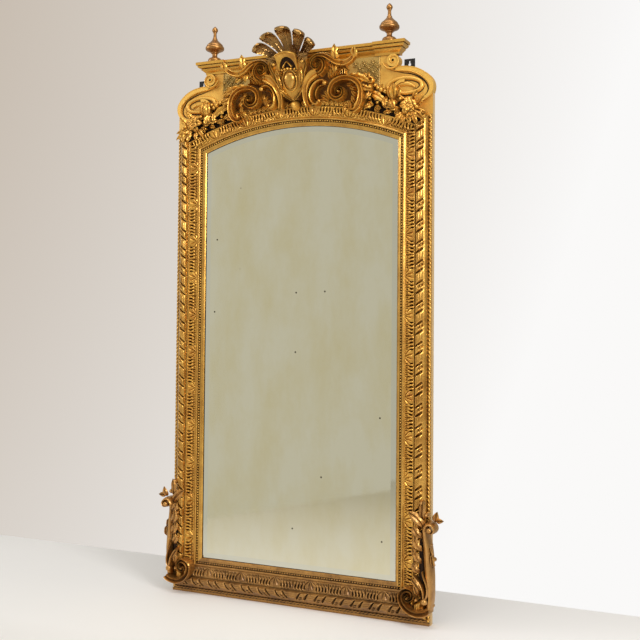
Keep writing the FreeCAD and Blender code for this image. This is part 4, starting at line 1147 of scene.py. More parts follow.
@dataclass
class CrestScrolls:
    """The scrolls and leaves of the crest on one half of the frame.

    Attributes:
        c_eye: Front-view place of the eye of the large C scroll.
        small_eye: Front-view place of the hollow of the small one.
        upper_eye: Front-view place under the eye of the upper scroll.
        ground: Y of the board behind them.
    """

    c_eye: tuple[float, float] = (195, 1973)
    small_eye: tuple[float, float] = (118, 1981)
    upper_eye: tuple[float, float] = (119, 2069)
    ground: float = BOARD_FRONT

    def c_scroll(self) -> Carving:
        """Large C scroll with a crescent foot, its volute, and a leaf along its back.

        Returns:
            The carving of the right half.
        """
        x, z = self.c_eye
        line = [(236, 1899), (252, 1899), (267, 1909), (277, 1928), (281.5, 1952), (280, 1977), (270, 2000),
                (250, 2017), (222, 2025), (192, 2023), (167, 2009), (156, 1986), (159, 1963), (175, 1950),
                (195, 1950), (209, 1960), (211, 1976), (203, 1988), (190, 1989), (182, 1980), (185, 1970)]
        path = flat_path(line, -46, 190)
        share = np.linspace(0, 1, 190)
        width = np.interp(share, [0, 0.05, 0.12, 0.2, 0.3, 0.5, 0.75, 1], [3, 10, 14, 11, 10, 10.5, 8, 4])
        height = np.interp(share, [0, 0.1, 0.25, 0.7, 1], [26, 34, 32, 36, 38])
        made = Carving().shell(sweep(path, width, height, TWIN))
        made.shells(volute_eye(x, z, self.ground, -90, 9))
        made.dome(x + 84, z - 12, self.ground, 7, 7, 32)
        big = LeafCut(lobes=5, thick=9, lift=12, tip=10, bend=-62, full=0.5)
        made.leaf((x + 4, z + 54), 16, 128, 34, -46, big)
        made.leaf((x - 24, z + 42), 32, 64, 20, -46, LeafCut(3, 0.25, 7, 10, 6, -36))
        made.leaf((x + 76, z + 26), -44, 62, 28, -52, LeafCut(3, 0.3, 8, 12, 10, 40))
        made.leaf((x + 66, z - 36), -88, 40, 22, -50, LeafCut(2, 0.25, 8, 10, 6, -30))
        for k in range(6):
            angle = math.radians(34 - 24 * k)
            r = 60.0 + 3.0 * k
            made.leaf((x + r * math.cos(angle), z + r * math.sin(angle)), 200 - 24 * k, 34, 18, -38,
                      LeafCut(2, 0.2, 7, 10, 4, -40))
        return made

    def small_scroll(self) -> Carving:
        """Small C scroll with a knob at its head and a curl at its foot.

        Returns:
            The carving of the right half.
        """
        x, z = self.small_eye
        line = [(137, 2011), (133, 2020), (120, 2024.5), (103, 2020), (88, 2006), (78.5, 1985), (76.5, 1963),
                (82, 1945), (94, 1935), (106, 1936), (111, 1945)]
        made = Carving().rod(line, -52, 90, (5, 4, 4), (32, 32, 7))
        inner = [(122, 2008), (108, 2004), (97, 1990), (92, 1972), (95, 1956)]
        made.rod(inner, -42, 50, (2, 2, 2.6), (24, 24, 6))
        made.shell(ball((136, -80, 2012), 9))
        made.shell(ball((110, -72, 1945), 7))
        made.dome(x - 40, z, self.ground, 5.5, 5.5, 34)
        for k in range(5):
            made.leaf((x + 18 + 3 * k, z - 36 + 6 * k), 150 - 22 * k, 42, 17, -38,
                      LeafCut(2, 0.2, 7, 9, 3, 46))
        return made

    def upper_scroll(self) -> Carving:
        """Upper scroll: sheet-like stalk, volute, and a beaded leaf that arches over it to two upturned tips.

        Returns:
            The carving of the right half.
        """
        x, z = self.upper_eye
        z += 7.0
        line = spiral((x, z), 31, 0.15, -78, 470, 120)
        path = np.stack([line[:, 0], np.full(120, -88), line[:, 1]], axis=1)
        made = Carving().shell(sweep(path, taper(7.5, 3, 120), taper(34, 38, 120), TWIN))
        made.shells(volute_eye(x, z, self.ground, -132, 7.5))
        stalk = smooth([(60, -46, 1932), (54, -54, 1960), (57, -66, 1992), (70, -76, 2020), (90, -82, 2040),
                        (112, -84, 2050)], 70)
        width = np.interp(np.linspace(0, 1, 70), [0, 0.3, 0.6, 0.85, 1], [9, 12, 14, 20, 16])
        made.shell(sweep(stalk, width, taper(24, 26, 70, 4), TWIN))
        over = smooth([(x - 30, -92, z - 2), (x - 25, -94, z + 20), (x - 2, -96, z + 33),
                       (x + 28, -98, z + 31), (x + 52, -98, z + 19), (x + 78, -96, z + 2),
                       (x + 100, -94, z - 4)], 90)
        made.shell(sweep(over, taper(3.6, 12, 90), taper(24, 28, 90, 5), TWIN))
        for i in range(10):
            p = over[22 + 6 * i]
            out = 8.0 + 0.7 * i
            made.dome(p[0] + 0.5 * out, p[2] + 0.85 * out, p[1] - 4, 4.6, 4.6, 20, 5, 10)
        tail = smooth([(x + 84, -92, z), (x + 112, -94, z - 3), (x + 140, -100, z + 6),
                       (x + 158, -108, z + 24)], 50)
        made.shell(sweep(tail, taper(13, 9, 50), taper(24, 22, 50), TWIN))
        made.shell(ball((x + 156, -120, z + 20), 12))
        made.leaf((x + 156, z + 8), 82, 38, 30, -118, LeafCut(0, 0, 12, 12, 8))
        made.leaf((x + 76, z + 6), 87, 60, 36, -110, LeafCut(2, 0.34, 10, 14, 12, 0, 0.4))
        made.leaf((x + 70, z + 4), -86, 44, 22, -96, LeafCut(0, 0, 9, 12, 8, 0, 0.4))
        made.leaf((x + 46, z + 18), -66, 44, 20, -88, LeafCut(2, 0.2, 7, 10, 4))
        made.leaf((x + 100, z - 4), -60, 40, 22, -84, LeafCut(2, 0.25, 8, 10, 4, 30))
        made.dome(x + 84, z - 2, self.ground, 8, 8, 72)
        for k in range(4):
            made.leaf((x + 26 + 8 * k, z - 44 + 2 * k), 96 - 14 * k, 46, 19, -44,
                      LeafCut(3, 0.25, 7, 10, 6, -20))
        for i in range(5):
            flute = [(x + 50 + 9 * i, z + 14), (x + 50 + 9 * i, z - 30)]
            made.rod(flute, -30, 10, (4.2, 4.2), (24, 18))
        for level, height in ((z + 12, 28), (z - 8, 24), (z - 30, 24)):
            made.rod([(x + 42, level), (x + 94, level)], -30, 8, (3.6, 3.6), (height, height))
        return made

    def arch_spray(self) -> Carving:
        """Low leaves and berries along the arch.

        Returns:
            The carving of the right half.
        """
        made = Carving()
        count, first, spread = 13, 1.4, 12.6
        r = ARCH_R + LEAF_OUT + 1.0
        for i in range(count):
            turn = math.radians(first + spread * i / count)
            x, z = r * math.sin(turn), ARCH_CZ + r * math.cos(turn)
            lean = -math.degrees(turn)
            made.leaf((x, z), 30 + lean, 36, 20, -24, LeafCut(2, 0.22, 7, 12, 6, 30))
            made.leaf((x + 8, z), 142 + lean, 32, 18, -24, LeafCut(2, 0.22, 7, 12, 4, -30))
            made.shell(berry(x + 2, z + 6, -30, 6))
        over = ARCH_R + LEAF_OUT + 4
        band = [(x, ARCH_CZ + math.sqrt(over ** 2 - x * x)) for x in np.linspace(24, 250, 40)]
        made.rod(band, BOARD_FRONT, 60, (4, 4), (13, 13))
        return made

    def build(self, finishes: Finishes) -> None:
        """Build both halves.

        Args:
            finishes: The materials of the mirror.
        """
        drawn = {"c_scroll": self.c_scroll(), "small_scroll": self.small_scroll(),
                 "upper_scroll": self.upper_scroll(), "arch_spray": self.arch_spray()}
        for name, carving in drawn.items():
            carving.both(f"carved_{name}", finishes.leaf, "leaf_gilt", name)


@dataclass
class Garland:
    """Leaves, roses and berries from beside the large scroll down to the corner of the frame.

    Attributes:
        leaves: Root x, root z, angle, length, width, ground depth and bend of each leaf.
        berries: X, z, depth and radius of each berry.
        roses: X, z, depth, radius and turn of each flower.
    """

    leaves: Sequence[tuple[float, ...]] = (
        (300, 2010, 122, 38, 24, -34, -20), (294, 2016, 58, 30, 22, -34, 20),
        (316, 1974, -134, 40, 24, -36, 20), (306, 1968, -22, 76, 38, -34, -22),
        (352, 1962, 60, 34, 22, -34, 30), (374, 1950, -104, 46, 28, -36, 18),
        (388, 1944, -58, 52, 30, -40, -18), (356, 1914, -4, 46, 26, -32, -20),
        (320, 1926, 214, 36, 24, -32, -20), (326, 1918, -40, 34, 22, -30, 20),
        (420, 1926, 206, 44, 26, -36, -18), (412, 1938, 46, 44, 22, -36, 30),
        (478, 1886, -8, 64, 24, -44, -20), (480, 1884, -32, 70, 24, -52, -16),
        (478, 1880, -58, 62, 24, -58, -12), (470, 1878, -86, 52, 24, -58, 10),
        (446, 1880, 214, 46, 26, -42, 20), (454, 1872, 250, 38, 24, -46, 16),
        (494, 1902, 34, 46, 24, -38, 24), (478, 1924, 66, 40, 22, -36, -24),
        (430, 1896, 170, 40, 22, -34, 20), (400, 1892, 186, 38, 20, -30, 16),
        (290, 1934, -20, 40, 22, -30, -20))
    berries: Sequence[tuple[float, ...]] = (
        (342, 1981, -42, 9), (357, 1972, -46, 10), (371, 1964, -42, 9), (382, 1976, -42, 8),
        (330, 1992, -40, 8), (284, 2032, -40, 8), (500, 1893, -54, 9), (517, 1876, -50, 9),
        (524, 1860, -46, 8), (338, 1928, -36, 8), (432, 1932, -44, 8), (498, 1866, -64, 8),
        (306, 1946, -36, 7), (392, 1912, -36, 7))
    roses: Sequence[tuple[float, ...]] = (
        (464, 1902, -44, 38, 20), (337, 1902, -30, 15, 5), (478, 1855, -58, 16, 20),
        (419, 1880, -34, 15, 30), (274, 1924, -30, 13, 0))

    def carve(self) -> Carving:
        """Draw the right half.

        Returns:
            The carving of the right half.
        """
        made = Carving()
        stem = [(300, 2004), (338, 1986), (378, 1966), (418, 1950), (446, 1930), (468, 1903), (496, 1884),
                (528, 1874)]
        made.rod(stem, -26, 60, (6, 5), (12, 20))
        for x, z, angle, length, width, depth, bend in self.leaves:
            cut = LeafCut(3, 0.3, 7, 12, 9, bend, 0.46)
            made.leaf((x, z), angle, length, width, depth, cut)
        for x, z, depth, radius in self.berries:
            made.shell(berry(x, z, depth, radius))
        for x, z, depth, radius, turn in self.roses:
            made.shells(rose(x, z, depth, radius, turn))
        made.dome(311, 1984, -34, 13, 18, 30, 9, 18)
        made.dome(402, 1960, -34, 17, 32, 36, 10, 20)
        wrap = LeafCut(0, 0, 10, 14, -4, 24, 0.5)
        made.leaf((410, 1932), 84, 62, 24, -52, wrap)
        made.leaf((396, 1934), 104, 52, 22, -48, LeafCut(0, 0, 9, 12, -2, -30, 0.5))
        turn = np.linspace(0, 2 * math.pi, 25)[:-1]
        ring = np.stack([311 + 11 * np.cos(turn), np.full(24, -44), 2013 + 11 * np.sin(turn)], axis=1)
        out = np.stack([np.cos(turn), np.zeros(24), np.sin(turn)], axis=1)
        section = half_round(9)
        hoop = (ring[:, None, :] + section[None, :, 0, None] * 5 * out[:, None, :]
                + section[None, :, 1, None] * 12 * FORWARD)
        made.shell(hoop, hoop=True)
        made.dome(311, 2013, -30, 13, 13, 16)
        return made

    def build(self, finishes: Finishes) -> None:
        """Build both halves.

        Args:
            finishes: The materials of the mirror.
        """
        self.carve().both("carved_garland", finishes.leaf, "leaf_gilt", "garland")
        # Under the flowers: a thin dark sheet of painted shade.
        self.ground().both("garland_ground", finishes.stain, "frame_wood")

    def ground(self) -> Carving:
        """Draw a thin dark sheet of painted shade under the flowers of the right half.

        Returns:
            The carving of the right half.
        """
        x = np.linspace(292, 500, 24)
        low = ARCH_CZ + np.sqrt((ARCH_R + LEAF_OUT + 1) ** 2 - x ** 2)
        high = np.interp(x, [292, 346, 380, 420, 446, 470, 500], [1960, 1972, 1958, 1942, 1926, 1902, 1880])
        high = np.maximum(high, low + 1)
        corners = ((-24, low), (-25.4, low), (-25.4, high), (-24, high))
        rows = [np.stack([x, np.full(24, y), z], axis=1) for y, z in corners]
        return Carving().shell(np.stack(rows, axis=1))


@dataclass
class Shoulders:
    """Banding on the shoulder fields and the trellis beside them; the fields are the wooden pieces.

    Attributes:
        front: Y of the face of the fields.
        swell: Half width of the shoulders.
        volute: Front-view place of the small volute.
        pitch: Spacing of the trellis.
        origin: Front-view place of a crossing of the trellis.
        panel_x: Inner and outer edge of the trellis.
        panel_z: Foot and head of the trellis.
    """

    front: float = -24.0
    swell: float = 555.0
    volute: tuple[float, float] = (397, 2083)
    pitch: float = 36.0
    origin: tuple[float, float] = (206, 1976)
    panel_x: tuple[float, float] = (212, 336)
    panel_z: tuple[float, float] = (1970, 2102)

    def band(self) -> Carving:
        """S-shaped band with its oval volute, and the small volute under the cornice.

        Returns:
            The carving of the right half.
        """
        turn = self.swell - 8.0
        path = [(388, 2098), (381, 2080), (388, 2062), (405, 2052.5), (440, 2048.5), (turn - 74, 2042),
                (turn - 45, 2029), (turn - 18, 2008), (turn - 1, 1982), (turn - 3, 1956), (turn - 18, 1937),
                (turn - 44, 1924), (turn - 66, 1920)]
        line = flat_path(path, self.front, 160)
        width = np.interp(np.linspace(0, 1, 160), [0, 0.5, 0.8, 1], [8.6, 11.5, 8, 2])
        made = Carving().shell(sweep(line, width, taper(11.5, 6, 160, 3), CHANNEL))
        oval = [(378, 1966), (373, 1984), (386, 2001), (412, 2011), (446, 2013.5), (482, 2007), (506, 1992),
                (508, 1976), (494, 1963), (462, 1957), (426, 1957), (404, 1962)]
        made.rod(oval, self.front, 120, (9, 7), (12, 9))
        tongue = [(404, 1984), (426, 1991), (452, 1991), (474, 1982), (482, 1975)]
        made.rod(tongue, self.front, 50, (4, 3, 6), (6, 9))
        roll = spiral(self.volute, 22, 0.2, -170, 330, 90)
        path = np.stack([roll[:, 0], np.full(90, -36), roll[:, 1]], axis=1)
        made.shell(sweep(path, taper(4, 1.8, 90), taper(8, 6, 90), ROLL))
        return made

    def grooves(self) -> Carving:
        """Thin dark strips beside the band and round the oval, for narrow grooves: painted shade, with old
        dirt.

        Returns:
            The carving of the right half.
        """
        made = Carving()
        beside_band = [(398, 2044), (434, 2034), (470, 2026), (496, 2014), (518, 1996), (531, 1974),
                       (530, 1956), (518, 1941), (496, 1931), (478, 1928)]
        over_oval = [(394, 1992), (404, 2001), (424, 2005.5), (448, 2006), (476, 2000), (495, 1989),
                     (496, 1978), (486, 1971), (472, 1969)]
        under_oval = [(402, 1951), (430, 1947), (462, 1947), (494, 1953), (512, 1965), (520, 1980)]
        for line in (beside_band, over_oval, under_oval):
            made.rod(line, self.front + 0.4, 80, (0.6, 0.6, 2.6), (1, 1))
        return made

    def inside(self, x: float, z: float) -> bool:
        """Whether a trellis crossing lies on the panel.

        Args:
            x: Front-view place.
            z: Front-view place.

        Returns:
            True on the panel.
        """
        slope = 1962.0 + 90.0 * max(0, 342 - x) / 78.0
        inner, outer = self.panel_x
        low, high = self.panel_z
        return inner < x < outer and max(slope, low) < z < high

    def trellis(self) -> Carving:
        """Rosettes in a diagonal trellis, with a fillet down its outer edge.

        Returns:
            The carving of the right half.
        """
        made = Carving()
        made.rod([(339, 1976), (339, 2104)], self.front, 20, (1.8, 1.8), (4, 4), half_round(7))
        for i in range(-1, 5):
            for j in range(-1, 8):
                x = self.origin[0] + self.pitch * (i + 0.5 * (j % 2))
                z = self.origin[1] + 0.5 * self.pitch * j
                if self.inside(x, z):
                    made.dome(x, z, self.front, 5.4, 5.4, 9, 5, 12)
                    for k in range(4):
                        made.leaf((x, z), 45 + 90 * k, 14, 11, self.front + 1, LeafCut(0, 0, 4, 2, 1, 0, .6))
                for slant in (0.5, -0.5):
                    a = (x - 0.5 * self.pitch, z)
                    b = (x, z + slant * self.pitch)
                    if self.inside(*a) and self.inside(*b):
                        made.rod([a, b], self.front + 0.5, 5, (1.6, 1.6), (3.4, 3.4), half_round(5))
        return made

    def build(self, finishes: Finishes) -> None:
        """Build both halves.

        Args:
            finishes: The materials of the mirror.
        """
        self.band().both("shoulder_band", finishes.ochre, "ochre_gilt")
        self.grooves().both("shoulder_groove_shade", finishes.stain, "ochre_gilt")
        self.trellis().both("trellis_rosettes", finishes.diaper, "diaper_gilt")


@dataclass
class Cartouche:
    """The shield with its plain oval boss, the diadem over it, and the plumes, all leaning toward the viewer.

    Attributes:
        foot_y: Depth of the foot of the leaning plane.
        foot_z: Height of that foot.
        lean: Angle of the plane in degrees.
        half: Half width of the shield.
        height: Height of the shield.
        fan: Height on the plane of the point that the plumes spread from.
    """

    foot_y: float = -62.0
    foot_z: float = 1962.0
    lean: float = math.degrees(math.atan2(50, 142))
    half: float = 76.0
    height: float = 165.0
    fan: float = 106.0

    def tipped(self, points: np.ndarray) -> np.ndarray:
        """Move points drawn on the upright plane onto the leaning one.

        Args:
            points: Points on the upright plane.

        Returns:
            The points on the leaning plane.
        """
        c, s = math.cos(math.radians(self.lean)), math.sin(math.radians(self.lean))
        y = self.foot_y + points[:, 1] * c - points[:, 2] * s
        z = self.foot_z + points[:, 1] * s + points[:, 2] * c
        return np.stack([points[:, 0], y, z], axis=1)

    def outline(self, up: np.ndarray) -> np.ndarray:
        """Half width of the shield at shares of its height."""
        return self.half * np.interp(up, [0, 0.13, 0.35, 0.62, 0.84, 0.93, 1],
                                     [0.06, 0.4, 0.66, 0.84, 0.98, .95, 0.8])

    def shield(self) -> Carving:
        """Shield, rims, diadem and the ring round the boss.

        Returns:
            The carving on the leaning plane.
        """
        made = Carving()
        up = np.linspace(0, 1, 40)
        half = self.outline(up)
        v = np.linspace(-1, 1, 21)
        belly = -(8 + 7 * (1 - v ** 2))[None, :] * np.ones((40, 1))
        x = half[:, None] * v
        z = np.repeat((up * self.height)[:, None], 21, axis=1)
        front = np.stack([x, belly, z], axis=-1)
        back = front[:, [20, 10, 0], :].copy()
        back[:, :, 1] = 0.0
        made.shell(np.concatenate([front, back], axis=1))
        for sign in (1, -1):
            rim = [(sign * 4, 2), (sign * 30, 22), (sign * 50, 58), (sign * 63, 100), (sign * 75, 132),
                   (sign * 70, 152), (sign * 56, 150), (sign * 57, 138)]
            made.rod(rim, -4, 90, (5, 3.4, 2.6), (13, 16, 4), CHANNEL)
            made.shell(ball((sign * 61, -16, 142), 7))
            made.leaf((sign * 40, 44), 90 - sign * 16, 84, 22, -10, LeafCut(4, 0.3, 7, 6, 8, sign * 18, 0.5))
            made.leaf((sign * 24, 22), 90 - sign * 62, 42, 18, -10, LeafCut(3, 0.3, 6, 5, 6, sign * 40))
            made.shells(rose(sign * 38, 104, -12, 12, 20))
            made.shell(berry(sign * 13, 120, -20, 6))
            made.shell(berry(sign * 27, 118, -17, 5.6))
        made.shell(berry(0, 122, -21, 6.4))
        ring = [(29 * math.cos(a), 76 + 41 * math.sin(a)) for a in np.linspace(0, 2 * math.pi, 49)]
        path = flat_path(ring, -11, 73)[:-1]
        along = np.roll(path, -1, axis=0) - np.roll(path, 1, axis=0)
        across = np.stack([along[:, 2], np.zeros(72), -along[:, 0]], axis=1)
        across /= np.linalg.norm(across, axis=1, keepdims=True)
        hoop = (path[:, None, :] + ROLL[None, :, 0, None] * 4.2 * across[:, None, :]
                + ROLL[None, :, 1, None] * 9 * FORWARD)
        made.shell(hoop, hoop=True)
        self.diadem(made)
        return made.moved(self.tipped)

    def diadem(self, made: Carving) -> None:
        """Add the flared band over the shield.

        Args:
            made: The shield's carving, drawn upright.
        """
        x = np.linspace(-1, 1, 25)
        bow = 1.0 - x ** 2
        low = 113.0 + 54.0 * np.clip(1 - (x / 0.9) ** 2, 0, 1) ** 0.5
        high = 174.0 + 12.0 * bow
        share = np.linspace(0, 1, 9)[:, None]
        half = 40.0 + 4.0 * share ** 1.5
        depth = -20.0 - 9.0 * share - 5.0 * share ** 3
        front = np.stack([half * x, depth - 8 * bow, low + (high - low) * share], axis=-1).transpose(1, 0, 2)
        back = front[:, ::-4, :].copy()
        back[:, :, 1] += 9.0
        made.shell(np.concatenate([front, back], axis=1))
        brow = np.stack([43 * x, -30 - 8 * bow, high], axis=1)
        made.shell(sweep(brow, taper(3.6, 3.6, 25), taper(9, 9, 25), ROLL))
        made.dome(0, 166, 26, 24, 20, 26, 6, 20)
        for sign in (1, -1):
            sprig = [(sign * 19, 127), (sign * 11, 138), (sign * 0.5, 149)]
            made.rod(sprig, -20, 20, (3.8, 2), (9, 10))

    def plume(self, angle: float, length: float, width: float, droop: float = 0) -> Carving:
        """A feather that rises from behind the diadem and curls forward.

        Args:
            angle: Direction over the horizontal in degrees.
            length: Reach from the root.
            width: Widest width.
            droop: Turn of the tip toward the outer side in degrees.

        Returns:
            The carving, in place.
        """
        curl = [(60, 0), (0.55 * length, 1), (0.78 * length, 11), (0.93 * length, 30), (1 * length, 50),
                (0.985 * length, 62), (0.95 * length, 66), (0.91 * length, 60)]
        line = smooth(curl, 64)
        step = np.gradient(line, axis=0)
        step /= np.linalg.norm(step, axis=1, keepdims=True)
        u = np.linspace(0, 1, 64)
        half = 0.5 * width * np.interp(u, [0, 0.2, 0.4, 0.58, 0.7, 0.8, 0.9, 1],
                                       [0.5, 0.6, 0.76, 0.96, 1, 0.86, 0.7, 0.5])
        v = np.linspace(-1, 1, 27)
        barbs = np.abs(np.sin(math.pi * (9 * u[:, None] - 3.2 * np.abs(v))))
        split = 1.0 - 0.07 * np.abs(np.sin(math.pi * (9 * u - 3.2)))[:, None] ** 3
        shaft = np.exp(-(v / 0.09) ** 2)
        bowl = 7.0 * np.abs(v) ** 2
        rise = 2.4 + 1.7 * barbs * (1 - 0.4 * shaft) + 3.2 * shaft + bowl * soft_step(u, 0.1, 0.5)[:, None]
        under = np.array([0.9, 0.45, 0, -0.45, -0.9])
        spread = [np.broadcast_to(v, (64, 27)) * split, np.broadcast_to(under, (64, 5))]
        across = np.concatenate(spread, axis=1)
        lift = np.concatenate([rise, -3 + 0.75 * 7 * np.abs(under) ** 2 * np.ones((64, 1))], axis=1)
        reach = line[:, 0, None] - lift * step[:, 1, None]
        ahead = line[:, 1, None] + lift * step[:, 0, None]
        side = half[:, None] * across
        a = np.radians(angle + droop * (u - 0.55))[:, None]
        x = reach * np.cos(a) - side * np.sin(a)
        z = self.fan + reach * np.sin(a) + side * np.cos(a)
        rings = np.stack([x, 13 - ahead, z], axis=-1)
        return Carving().shell(rings).moved(self.tipped)

    def boss(self) -> Carving:
        """Pendant fruit under the shield, with small leaves over it.

        Returns:
            The carving.
        """
        made = Carving().dome(0, 1941, BOARD_FRONT - 16, 16, 20, 44, 12, 24)
        made.dome(0, 1941, BOARD_FRONT, 9, 12, 30)
        for angle, length in ((90, 20), (146, 24), (34, 24)):
            made.leaf((0, 1960), angle, length, 12, -58, LeafCut(0, 0, 5, 6, 4))
        return made

    def build(self, finishes: Finishes) -> None:
        """Build the shield, its boss, the pendant and five plumes.

        Args:
            finishes: The materials of the mirror.
        """
        self.shield().build("carved_shield", finishes.leaf, "leaf_gilt", ["cartouche_shield"])
        egg = dome(0, 76, -14, 24, 34, 19, 12, 32)
        egg[:, :, 0] *= 1.0 + 0.2 * (egg[:, :, 2] - 76) / 34.0
        Carving().shell(egg).moved(self.tipped).build("oval_boss", finishes.bright, "leaf_gilt",
                                                      ["cartouche_cabochon"])
        self.boss().build("carved_pendant", finishes.ochre, "leaf_gilt", ["pendant_boss"])
        # Painted shade: a dark dome in the hollow under the diadem.
        hollow = Carving().dome(0, 141, -13, 37, 30, 5, 5, 28)
        hollow.moved(self.tipped).build("diadem_painted_shade", finishes.stain, "leaf_gilt")
        for name, angle, length, width, droop in (
                ("centre", 90, 174, 64, 0), ("inner_right", 66, 170, 54, -8),
                ("inner_left", 114, 170, 54, 8), ("outer_right", 45, 164, 50, -8),
                ("outer_left", 135, 164, 50, 8)):
            feather = self.plume(angle, length, width, droop)
            if name.startswith("outer"):
                sign = 1.0 if angle < 90.0 else -1.0
                husk = LeafCut(3, 0.25, 8, 10, 6, -30 * sign, 0.5)
                root = leaf((sign * 34, 140), 90 - 52 * sign, 62, 40, -2, husk)
                feather.shell(self.tipped(root.reshape(-1, 3)).reshape(root.shape))
            feather.build(f"feather_{name}", finishes.bronze, "bronzed_gilt", [f"plume_{name}"], 60)


@dataclass
class Cornice:
    """Moulded cornice in three lengths: the middle sits back between the end blocks.

    Attributes:
        half: Half width at the foot, without the moulding.
        front: Y of the end blocks' face, without the moulding.
        inset: How far the middle sits back.
        joint: Where the middle meets the end blocks.
        back: Y of the back.
        section: Heights over the foot and projections of the moulding.
    """

    half: float = 415.0
    front: float = -24.0
    inset: float = 9.0
    joint: float = 322.0
    back: float = 2.0
    section: Sequence[tuple[float, float]] = (
        (0, 5.6), (6.5, 5.9), (7.6, 6.4), (9.6, 8.6), (12.5, 12), (16, 16.4), (18.4, 18.6), (18.6, 21),
        (20.8, 21.2), (21.2, 17.6), (23.4, 17.6), (23.8, 22.6), (25.4, 26.6), (28, 29.8), (31, 31.6),
        (33.2, 32), (33.5, 28), (35.6, 28), (36, 35.2), (37.2, 36.8), (46.6, 36.8), (48, 35.4))

    def rings(self, outline: Callable[[float], list[tuple[float, float]]]) -> np.ndarray:
        """Stack the plan outline for every height.

        Args:
            outline: Gives the plan corners (x, y) for a projection.

        Returns:
            Closed rings from foot to top.
        """
        return np.array([[(x, y, CORNICE_Z + up) for x, y in outline(out)] for up, out in self.section])

    def build(self, finishes: Finishes) -> None:
        """Build the three lengths.

        Args:
            finishes: The materials of the mirror.
        """
        face = self.front + self.inset
        middle = self.rings(lambda out: [(self.joint, self.back), (self.joint, face - out),
                                         (-self.joint, face - out), (-self.joint, self.back)])
        Carving().shell(middle).build("moulded_cornice_centre", finishes.leaf, "leaf_gilt",
                                      ["cornice_centre"], 25)
        end = self.rings(lambda out: [(self.half + out, self.back), (self.half + out, self.front - out),
                                      (self.joint, self.front - out), (self.joint, self.back)])
        Carving().shell(end).both("moulded_cornice", finishes.leaf, "leaf_gilt", "cornice", 25)


@dataclass
class Brackets:
    """Scrolled leaf brackets over the lower corners.

    Attributes:
        eye: Front-view place of the eye of the scroll.
        back: Y of the back of the scroll.
        scroll: Front-view middle line of the scroll, from the foot of the shaft to the eye.
        leaves: Root x, root z, angle, length, width, ground depth and bend of each lobed leaf.
        knobs: X, z, depth and radius of each knob.
    """

    eye: tuple[float, float] = (478, 103.5)
    back: float = -30.0
    scroll: Sequence[tuple[float, float]] = (
        (556, 66), (548, 58), (532, 52), (506, 49.5), (474, 62), (453, 88), (450, 111), (462, 128),
        (480, 133), (495, 126), (498, 112), (490, 98.5), (477, 94.5), (470, 103), (476, 110))
    leaves: Sequence[tuple[float, ...]] = (
        (538, 352, 118, 86, 40, -48, 34), (528, 372, 92, 84, 30, -44, -12),
        (532, 322, 140, 54, 34, -62, -30), (530, 276, 132, 54, 34, -62, -34),
        (528, 232, 128, 50, 32, -62, -34), (524, 196, 136, 46, 30, -62, -30),
        (504, 300, 60, 40, 22, -62, 50), (500, 250, 66, 40, 22, -62, 50), (502, 206, 60, 36, 22, -62, 50),
        (522, 112, 128, 52, 24, -56, -50), (530, 130, 118, 62, 24, -62, 16), (566, 214, 84, 50, 24, -38, 18),
        (562, 250, 92, 44, 20, -36, 14))
    knobs: Sequence[tuple[float, ...]] = (
        (568, 244, -30, 8), (556, 296, -30, 6), (510, 100, -58, 8), (526, 446, -44, 11), (544, 404, -44, 10),
        (506, 322, -66, 7), (504, 270, -66, 7), (502, 226, -66, 7), (558, 76, -22, 9))

    def carve(self) -> Carving:
        """Draw the right half.

        Returns:
            The carving of the right half.
        """
        made = Carving().rod(self.scroll, self.back, 150, (12, 4.6, 1.5), (50, 52), TWIN)
        made.shells(volute_eye(*self.eye, self.back, -88, 7.5))
        made.shell(ball((542, -72, 97), 12))
        shaft = smooth([(551, -24, 60), (555, -24, 109), (552, -24, 170), (548, -24, 230), (544, -24, 290),
                        (539, -26, 332), (540, -28, 356), (552, -30, 371), (568, -32, 370), (577, -34, 357),
                        (570, -36, 344), (558, -38, 345), (555, -38, 354)], 140)
        share = np.linspace(0, 1, 140)
        width = np.interp(share, [0, 0.12, 0.3, 0.5, 0.62, 0.7, 0.8, 0.9, 1],
                          [11, 13, 17, 18, 15, 13, 11, 7, 3])
        height = np.interp(share, [0, 0.3, 0.6, 0.75, 1], [36, 46, 46, 48, 44])
        made.shell(sweep(shaft, width, height, ROLL))
        made.shell(ball((560, -74, 353), 10))
        stem = [(541, 100), (550, 118), (552, 141), (546, 166), (537, 186), (533, 204)]
        twig = [(540, 106), (534, 138), (522, 162), (500, 186)]
        for line, wide in ((stem, 4.6), (twig, 6.6)):
            made.rod(line, -46, 50, (wide, 0.6 * wide, 1.5), (34, 30))
        for x, z, angle, length, wide in ((573, 380, 76, 40, 26), (576, 386, 2, 31, 21)):
            made.leaf((x, z), angle, length, wide, -40, LeafCut(0, 0, 9, 8, 4, 0, 0.36))
        for x, z, angle, length, wide, depth, bend in self.leaves:
            made.leaf((x, z), angle, length, wide, depth, LeafCut(2, 0.26, 10, 14, 8, bend, 0.5))
        for x, z, depth, radius in self.knobs:
            made.dome(x, z, depth, radius, radius, 1.5 * radius + 8, 8, 16)
        return made

    def build(self, finishes: Finishes) -> None:
        """Build both halves.

        Args:
            finishes: The materials of the mirror.
        """
        self.carve().both("carved_bracket", finishes.bracket, "leaf_gilt", "corner_bracket")
        shade = Carving().dome(525, 222, -34, 15, 146, 24, 9, 40)
        shade.both("bracket_ground", finishes.stain, "frame_wood")


